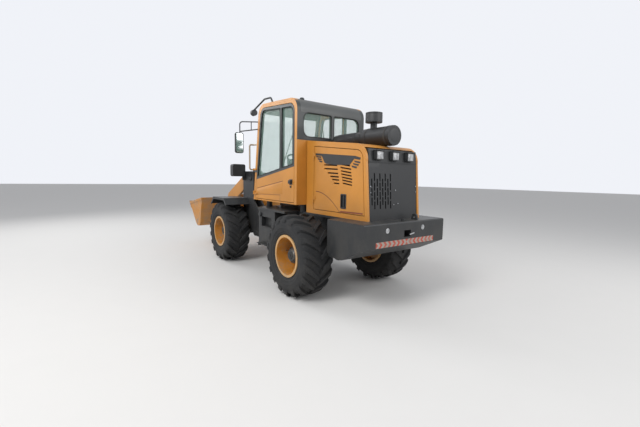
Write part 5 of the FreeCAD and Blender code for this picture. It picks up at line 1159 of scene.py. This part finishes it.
class LOADER_OT_cab_trim(PieceOperator):
    """Mirror faces, wiper, pressed door panel, door handle and roof fitting"""

    bl_idname = "loader.cab_trim"
    bl_label = "Cab trim"

    def make(self):
        form = bmesh.new()
        for sign in (1, -1):
            outline = [(sign * (0.870 + u), 2.085 + v) for u, v in rounded_outline(0.059, 0.154, 0.026)]
            add_plate(form, outline, FRONT_POST_X - 0.0312, FRONT_POST_X - 0.0295, "YZ")
        add_piece("mirror_faces", form, "rear", "mirror_face")
        self.door()
        self.wiper()
        form = bmesh.new()
        fitting = [(-0.005, 0.034), (0.016, 0.034), (0.030, 0.024), (0.036, 0.0)]
        add_lathe(form, fitting, (REAR_X + 0.40, 0.44, ROOF_TOP_Z), "Z", 28)
        add_piece("roof_fitting", form)

    def wiper(self):
        """Wiper on the windscreen, which leans back."""

        def on_screen(y, z, off):
            return REAR_X + 1.5835 - (z - 1.165) * 0.1364 + off, y, z

        form = bmesh.new()
        arm = [on_screen(0.10, 1.515, 0.046), on_screen(0.06, 1.80, 0.034), on_screen(0.02, 2.02, 0.016)]
        add_tube(form, arm, 0.006, 0.03)
        add_tube(form, [on_screen(0.09, 1.78, 0.010), on_screen(-0.05, 2.27, 0.010)], 0.007)
        hub = [(0.012, 0.022), (0.040, 0.022), (0.052, 0.014), (0.052, 0.0)]
        add_lathe(form, hub, on_screen(0.10, 1.515, 0.0), "X", 20)
        add_piece("wiper", form)

    def door(self):
        """The door's raised panel, and its handle on a plate with the lock below."""
        face = DOOR_FACE_Y
        form = bmesh.new()
        panel = ((1.470, 1.345), (0.640, 1.472), (0.640, 1.302), (0.705, 1.290), (1.490, 1.266))
        add_relief(form, [(REAR_X + x, z) for x, z in panel], face - 0.001, face + 0.003, 0.006)
        add_piece("door_pressings", form, "cab_door", "door_paint")
        form = bmesh.new()
        x = REAR_X + 0.372
        add_block(form, (x - 0.002, face - 0.001, 1.453), (x + 0.052, face + 0.0365, 1.502), 0.0035, 3)
        add_block(form, (x - 0.014, face - 0.001, 1.440), (x + 0.064, face + 0.006, 1.515), 0.003)
        lock = [(-0.001, 0.013), (0.012, 0.013), (0.013, 0.010), (0.013, 0.0)]
        add_lathe(form, lock, (x + 0.026, face, 1.410), "Y", 24)
        add_piece("door_handle", form, "cab_door")


class LOADER_OT_seat(PieceOperator):
    """Padded seat cushion and backrest with piping, on a back shell"""

    bl_idname = "loader.seat"
    bl_label = "Driver's seat"

    def make(self):
        lean = math.radians(10.4)
        upright = Matrix(((-math.sin(lean), 0, math.cos(lean)), (0, -1, 0), (math.cos(lean), 0, math.sin(lean))))
        # Name, half sizes, place ahead of the rear axle and above the ground, turn, CAD nodes that it replaces
        pads = (
            ("seat_cushion", (0.225, 0.226, 0.040), (0.752, 1.561), Matrix.Identity(3), ("seat",)),
            ("seat_backrest", (0.222, 0.222, 0.038), (0.503, 1.862), upright, ()),
        )
        piping = bmesh.new()
        for name, half, (x, z), turn, nodes in pads:
            place = Vector((REAR_X + x, 0, z))
            item = settle(puffed_pad(name, half, place, turn), "rear", nodes)
            outline = rounded_outline(half[0] - 0.003, half[1] - 0.003, 0.042)
            for level in (half[2] - 0.004, 0.004 - half[2]):
                loop = [place + turn @ Vector((u, v, level)) for u, v in outline]
                add_bead(piping, loop, turn @ Vector((0, 0, 1)), 0.0045)
        add_piece("seat_piping", piping, "rear", "rubber_seal")
        form = bmesh.new()
        outline = ((0.482, 1.512), (0.508, 1.512), (0.489, 1.64), (0.412, 2.06), (0.405, 2.06), (0.463, 1.64))
        add_plate(form, [(REAR_X + x, z) for x, z in outline], -0.205, 0.205)
        add_piece("seat_shell", form)


class LOADER_OT_cab_controls(PieceOperator):
    """Lever with gaiter, switch row, pedals and instrument pod"""

    bl_idname = "loader.cab_controls"
    bl_label = "Cab controls"

    LEVER = (
        (0.0, 0.045), (0.010, 0.045), (0.020, 0.036), (0.030, 0.038), (0.040, 0.029), (0.050, 0.031), (0.060, 0.021),
        (0.070, 0.022), (0.082, 0.008), (0.170, 0.008), (0.172, 0.021), (0.235, 0.024), (0.250, 0.016), (0.254, 0.0),
    )

    def make(self):
        form = bmesh.new()
        add_lathe(form, self.LEVER, (REAR_X + 0.86, -0.40, 1.669), "Z", 24)
        for i in range(5):
            x = REAR_X + 0.56 + i * 0.034
            add_block(form, (x, -0.36, 1.668), (x + 0.022, -0.325, 1.678), 0.003)
        for y in (0.12, -0.12):
            add_block(form, (REAR_X + 1.36, y - 0.045, 1.225), (REAR_X + 1.39, y + 0.045, 1.315), 0.006)
        add_piece("levers_and_pedals", form)
        form = bmesh.new()
        add_block(form, (REAR_X + 1.27, -0.115, 1.745), (REAR_X + 1.35, 0.115, 1.850), 0.018, 4)
        add_piece("instrument_pod", form)


class LOADER_OT_guard_trim(PieceOperator):
    """Dark sheet of painted shade behind the radiator guard's slots, and the guard's bolts"""

    bl_idname = "loader.guard_trim"
    bl_label = "Radiator guard trim"

    def make(self):
        low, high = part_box("radiator_guard")
        lean = 0.055 / (high.z - low.z)
        bottom, top, depth, thick = 1.15, 1.70, 0.020, 0.002

        def face_x(z):
            return low.x + (z - low.z) * lean

        start, end = face_x(bottom) + depth, face_x(top) + depth
        # Painted shade: a near-black sheet just behind the slots, for the shade inside the guard.
        form = bmesh.new()
        add_plate(form, [(start, bottom), (end, top), (end + thick, top), (start + thick, bottom)], 0.03, 0.40)
        add_piece("guard_screen", form, "rear", "dark_opening")
        spots = [(side * 0.392, z) for side in (1, -1) for z in (1.385, 1.455)]
        spots += [(-0.02, 1.41), (0.015, 1.24), (-0.06, 1.25)]
        rows = [((face_x(z), y, z), (-1, 0, 0)) for y, z in spots]
        bolt_rows("guard_bolts", rows, "rear", "chrome_rod", radius=0.009)


class LOADER_OT_frame_bolts(PieceOperator):
    """Bolts on axle flanges, pin caps and towers"""

    bl_idname = "loader.frame_bolts"
    bl_label = "Frame bolts"

    # Bolts of a tower, as (distance ahead of the front axle, height)
    TOWER = ((-0.46, 1.58), (-0.30, 1.58), (-0.50, 1.20), (-0.16, 1.20), (-0.50, 1.00), (-0.16, 1.00))

    def make(self):
        for axle, body in ((REAR_X, "rear"), (FRONT_X, "front")):
            rows = [row for sign in (1, -1) for row in bolt_circle(axle, 0.5305, TYRE_RADIUS, 0.097, 10, 0.5, sign)]
            bolt_rows(f"axle_flange_bolts_{body}", rows, body, "cast_metal", radius=0.009, height=0.010)
        caps = bmesh.new()
        rows = []
        face = TOWER_FACE_Y
        for sign in (1, -1):
            for pin, radius in ((BOOM_PIN, 0.052), (LIFT_FOOT, 0.038)):
                steps = [
                    (face, radius), (face + 0.011, radius), (face + 0.014, radius - 0.003), (face + 0.014, 0.010),
                    (face + 0.020, 0.008), (face + 0.020, 0.0),
                ]
                add_lathe(caps, steps, (pin.x, 0, pin.z), "Y", 32, sign)
                rows += bolt_circle(pin.x, face + 0.014, pin.z, radius - 0.012, 4, 0.5, sign)
            rows += [((FRONT_X + x, sign * 0.495, z), (0, sign, 0)) for x, z in self.TOWER]
        add_piece("pin_caps", caps, "front", "frame_paint")
        bolt_rows("tower_bolts", rows, "front")


class LOADER_OT_tank_trim(PieceOperator):
    """Filler caps, and grip studs of the steps"""

    bl_idname = "loader.tank_trim"
    bl_label = "Tank trim"

    def make(self):
        low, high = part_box("tanks")
        middle = (low.x + high.x) / 2
        form = bmesh.new()
        rows = []
        for sign in (1, -1):
            cap = [(0.688, 0.038), (0.712, 0.038), (0.716, 0.034), (0.716, 0.0)]
            add_lathe(form, cap, (high.x - 0.07, 0, 0.955), "Y", 24, sign)
            for top, inner in ((0.520, 0.702), (0.775, 0.620)):
                for i in range(9):
                    for j in range(3):
                        y = sign * (inner + 0.014 + j * 0.025)
                        rows.append(((middle + (i - 4) * 0.032, y, top + 0.001), (0, 0, 1)))
        add_piece("tank_caps", form)
        bolt_rows("step_studs", rows, radius=0.006, height=0.004, sides=8)


class LOADER_OT_cylinder_pipes(PieceOperator):
    """Feed pipes, port blocks and clips along the lift and tilt cylinders"""

    bl_idname = "loader.cylinder_pipes"
    bl_label = "Cylinder pipes"

    # Barrel's node and body, foot and head pins, radius, length, cross places, and 1 for above or -1 for below
    CYLINDERS = (
        ("lift_barrels", LIFT_FOOT, LIFT_HEAD, 0.045, 0.65, (0.41, -0.41), -1),
        ("tilt_barrel", TILT_FOOT, ROCKER_HEAD, 0.050, 0.56, (0.0,), 1),
    )

    def make(self):
        for name, foot, head, radius, length, spots, lift in self.CYLINDERS:
            form = bmesh.new()
            way = (head - foot).normalized()
            out = Vector((-way.z, 0, way.x)) * lift
            lane, seat = radius + 0.012, radius - 0.004
            near, far = 0.11, length - 0.055
            for y in spots:
                start = foot + Vector((0, y, 0))
                stops = [(near, seat), (near, lane), (far, lane), (far, seat)]
                add_tube(form, [start + way * along + out * rise for along, rise in stops], 0.006, 0.008)
                boxes = [(along, 0.001, (0.016, 0.014, 0.007)) for along in (near, far)]
                boxes += [(along, 0.008, (0.007, 0.013, 0.011)) for along in (0.27, 0.43)]
                for along, rise, half in boxes:
                    add_turned_box(form, start + way * along + out * (radius + rise), way, out, half)
            add_piece(f"pipes_of_{name}", form, name)


class LOADER_OT_cleaner_trim(PieceOperator):
    """Clamp bands, ribbed hose, drum cover and rain cap of the air cleaner"""

    bl_idname = "loader.cleaner_trim"
    bl_label = "Air cleaner trim"

    DRUM_COVER = ((0.0, 0.0), (0.0, 0.060), (0.006, 0.100), (0.016, 0.119), (0.030, 0.121), (0.032, 0.117))
    RAIN_CAP = (
        (-0.002, 0.0), (-0.002, 0.088), (0.004, 0.106), (0.030, 0.1065), (0.034, 0.1055), (0.060, 0.1065),
        (0.064, 0.1055), (0.090, 0.1065), (0.1185, 0.096), (0.1205, 0.03), (0.1205, 0.0),
    )

    def make(self):
        bands, hose, covers = bmesh.new(), bmesh.new(), bmesh.new()
        for x, radius in ((-0.86, 0.118), (-0.53, 0.118), (-0.40, 0.088), (0.09, 0.088)):
            band = [(u, radius + v) for u, v in ((-0.011, -0.001), (-0.011, 0.003), (0.011, 0.003), (0.011, -0.001))]
            add_lathe(bands, band + band[:1], (REAR_X + x, 0, CLEANER_Z), "X", 56)
        add_piece("cleaner_bands", bands, "rear", "cast_metal")
        rib = ((0.02, 0.087), (0.031, 0.094), (0.043, 0.094), (0.052, 0.087))
        ribs = [(along + i * 0.042, radius) for i in range(9) for along, radius in rib]
        add_lathe(hose, [(0.0, 0.087), *ribs, (0.40, 0.087)], (REAR_X - 0.33, 0, CLEANER_Z), "X", 48)
        add_piece("cleaner_hose", hose, "rear", "rubber_seal")
        add_lathe(covers, self.DRUM_COVER, (REAR_X - 0.933, 0, CLEANER_Z), "X", 56)
        add_lathe(covers, self.RAIN_CAP, (REAR_X - 0.58, 0, CLEANER_Z + 0.185), "Z", 56)
        add_piece("cleaner_covers", covers)


class LOADER_OT_stage(PieceOperator):
    """Pale floor, soft lamps and the camera at the photograph's angle"""

    bl_idname = "loader.stage"
    bl_label = "Studio stage"

    # The camera fitted to the photograph: place over the ground point under the rear axle, and its axes
    CAMERA_PLACE = (-3.694, 3.110, 1.540)
    CAMERA_RIGHT = (-0.59167, -0.80601, 0.01645)
    CAMERA_UP = (0.09368, -0.04847, 0.99442)
    CAMERA_AHEAD = (0.80072, -0.58991, -0.10418)
    FOCAL_PIXELS = 338.98
    PHOTO_WIDTH = 640
    SENSOR_WIDTH = 36.0
    # Area lamps: name, place, watts and width
    LAMPS = (
        ("key_lamp", (-3.5, 7.0, 7.5), 540.0, 4.0),
        ("fill_lamp", (-8.0, -3.0, 5.0), 230.0, 5.0),
        ("front_lamp", (7.0, 4.0, 6.0), 240.0, 5.0),
    )

    def make(self):
        self.camera()
        self.floor()
        self.lights()
        self.sky()
        bpy.context.scene.view_settings.view_transform = "Standard"

    def camera(self):
        data = bpy.data.cameras.new("camera")
        data.sensor_fit = "HORIZONTAL"
        data.sensor_width = self.SENSOR_WIDTH
        data.lens = self.SENSOR_WIDTH * self.FOCAL_PIXELS / self.PHOTO_WIDTH
        data.clip_end = 200.0
        camera = new_object("camera", data)
        axes = Matrix((self.CAMERA_RIGHT, self.CAMERA_UP, [-part for part in self.CAMERA_AHEAD])).transposed()
        place = Vector(self.CAMERA_PLACE) + Vector((REAR_X, 0, 0))
        camera.matrix_world = Matrix.Translation(place) @ axes.to_4x4()
        bpy.context.scene.camera = camera

    def floor(self):
        form = bmesh.new()
        bmesh.ops.create_grid(form, x_segments=1, y_segments=1, size=60.0)
        item = new_object("studio_floor", mesh_of("studio_floor", form))
        ground = Finish("floor_finish", rough=0.85)
        tone = ground.mix(ground.noise(3.0, 5.0) * 0.3, (0.72, 0.71, 0.69), (0.66, 0.65, 0.63))
        item.data.materials.append(ground.done(tone, 0.85))

    def lights(self):
        for name, place, watts, width in self.LAMPS:
            data = bpy.data.lights.new(name, "AREA")
            data.energy = watts
            data.size = width
            lamp = new_object(name, data)
            lamp.location = place
            lamp.rotation_euler = (Vector((0, 0, 1.0)) - Vector(place)).to_track_quat("-Z", "Y").to_euler()

    def sky(self):
        """A pale sky, brighter to the camera than as light."""
        world = bpy.data.worlds.new("studio")
        bpy.context.scene.world = world
        world.use_nodes = True
        tree = world.node_tree
        back = next(node for node in tree.nodes if node.type == "BACKGROUND")
        put(tree, back.inputs["Color"], (0.93, 0.95, 1.0))
        rays = add_node(tree, "ShaderNodeLightPath").outputs
        seen = Value(tree, rays["Is Camera Ray"])
        for kind in ("Is Glossy Ray", "Is Transmission Ray"):
            seen = seen.maths("MAXIMUM", rays[kind])
        put(tree, back.inputs["Strength"], seen * 0.42 + 0.52)


OPERATORS = [
    LOADER_OT_paint_nodes,
    LOADER_OT_tyres,
    LOADER_OT_wheel_fasteners,
    LOADER_OT_hood_trim,
    LOADER_OT_lamps,
    LOADER_OT_counterweight_trim,
    LOADER_OT_window_seals,
    LOADER_OT_cab_trim,
    LOADER_OT_seat,
    LOADER_OT_cab_controls,
    LOADER_OT_guard_trim,
    LOADER_OT_frame_bolts,
    LOADER_OT_tank_trim,
    LOADER_OT_cylinder_pipes,
    LOADER_OT_cleaner_trim,
    LOADER_OT_stage,
]


class LOADER_PT_panel(bpy.types.Panel):
    """Lists the loader's operators"""

    bl_idname = "LOADER_PT_panel"
    bl_label = "Wheel loader"
    bl_space_type = "VIEW_3D"
    bl_region_type = "UI"
    bl_category = "Loader"

    def draw(self, context):
        for operator in OPERATORS:
            self.layout.operator(operator.bl_idname)
        for group in (context.scene.loader_colours, context.scene.loader_sizes):
            for key in group.__annotations__:
                self.layout.prop(group, key)


CLASSES = [LoaderColours, LoaderSizes, *OPERATORS, LOADER_PT_panel]


def register():
    for item in CLASSES:
        bpy.utils.register_class(item)
    bpy.types.Scene.loader_colours = bpy.props.PointerProperty(type=LoaderColours)
    bpy.types.Scene.loader_sizes = bpy.props.PointerProperty(type=LoaderSizes)


def unregister():
    del bpy.types.Scene.loader_colours
    del bpy.types.Scene.loader_sizes
    for item in reversed(CLASSES):
        bpy.utils.unregister_class(item)


def main():
    register()
    for operator in OPERATORS:
        group, _, call = operator.bl_idname.partition(".")
        getattr(getattr(bpy.ops, group), call)()


if __name__ == "__main__":
    main()
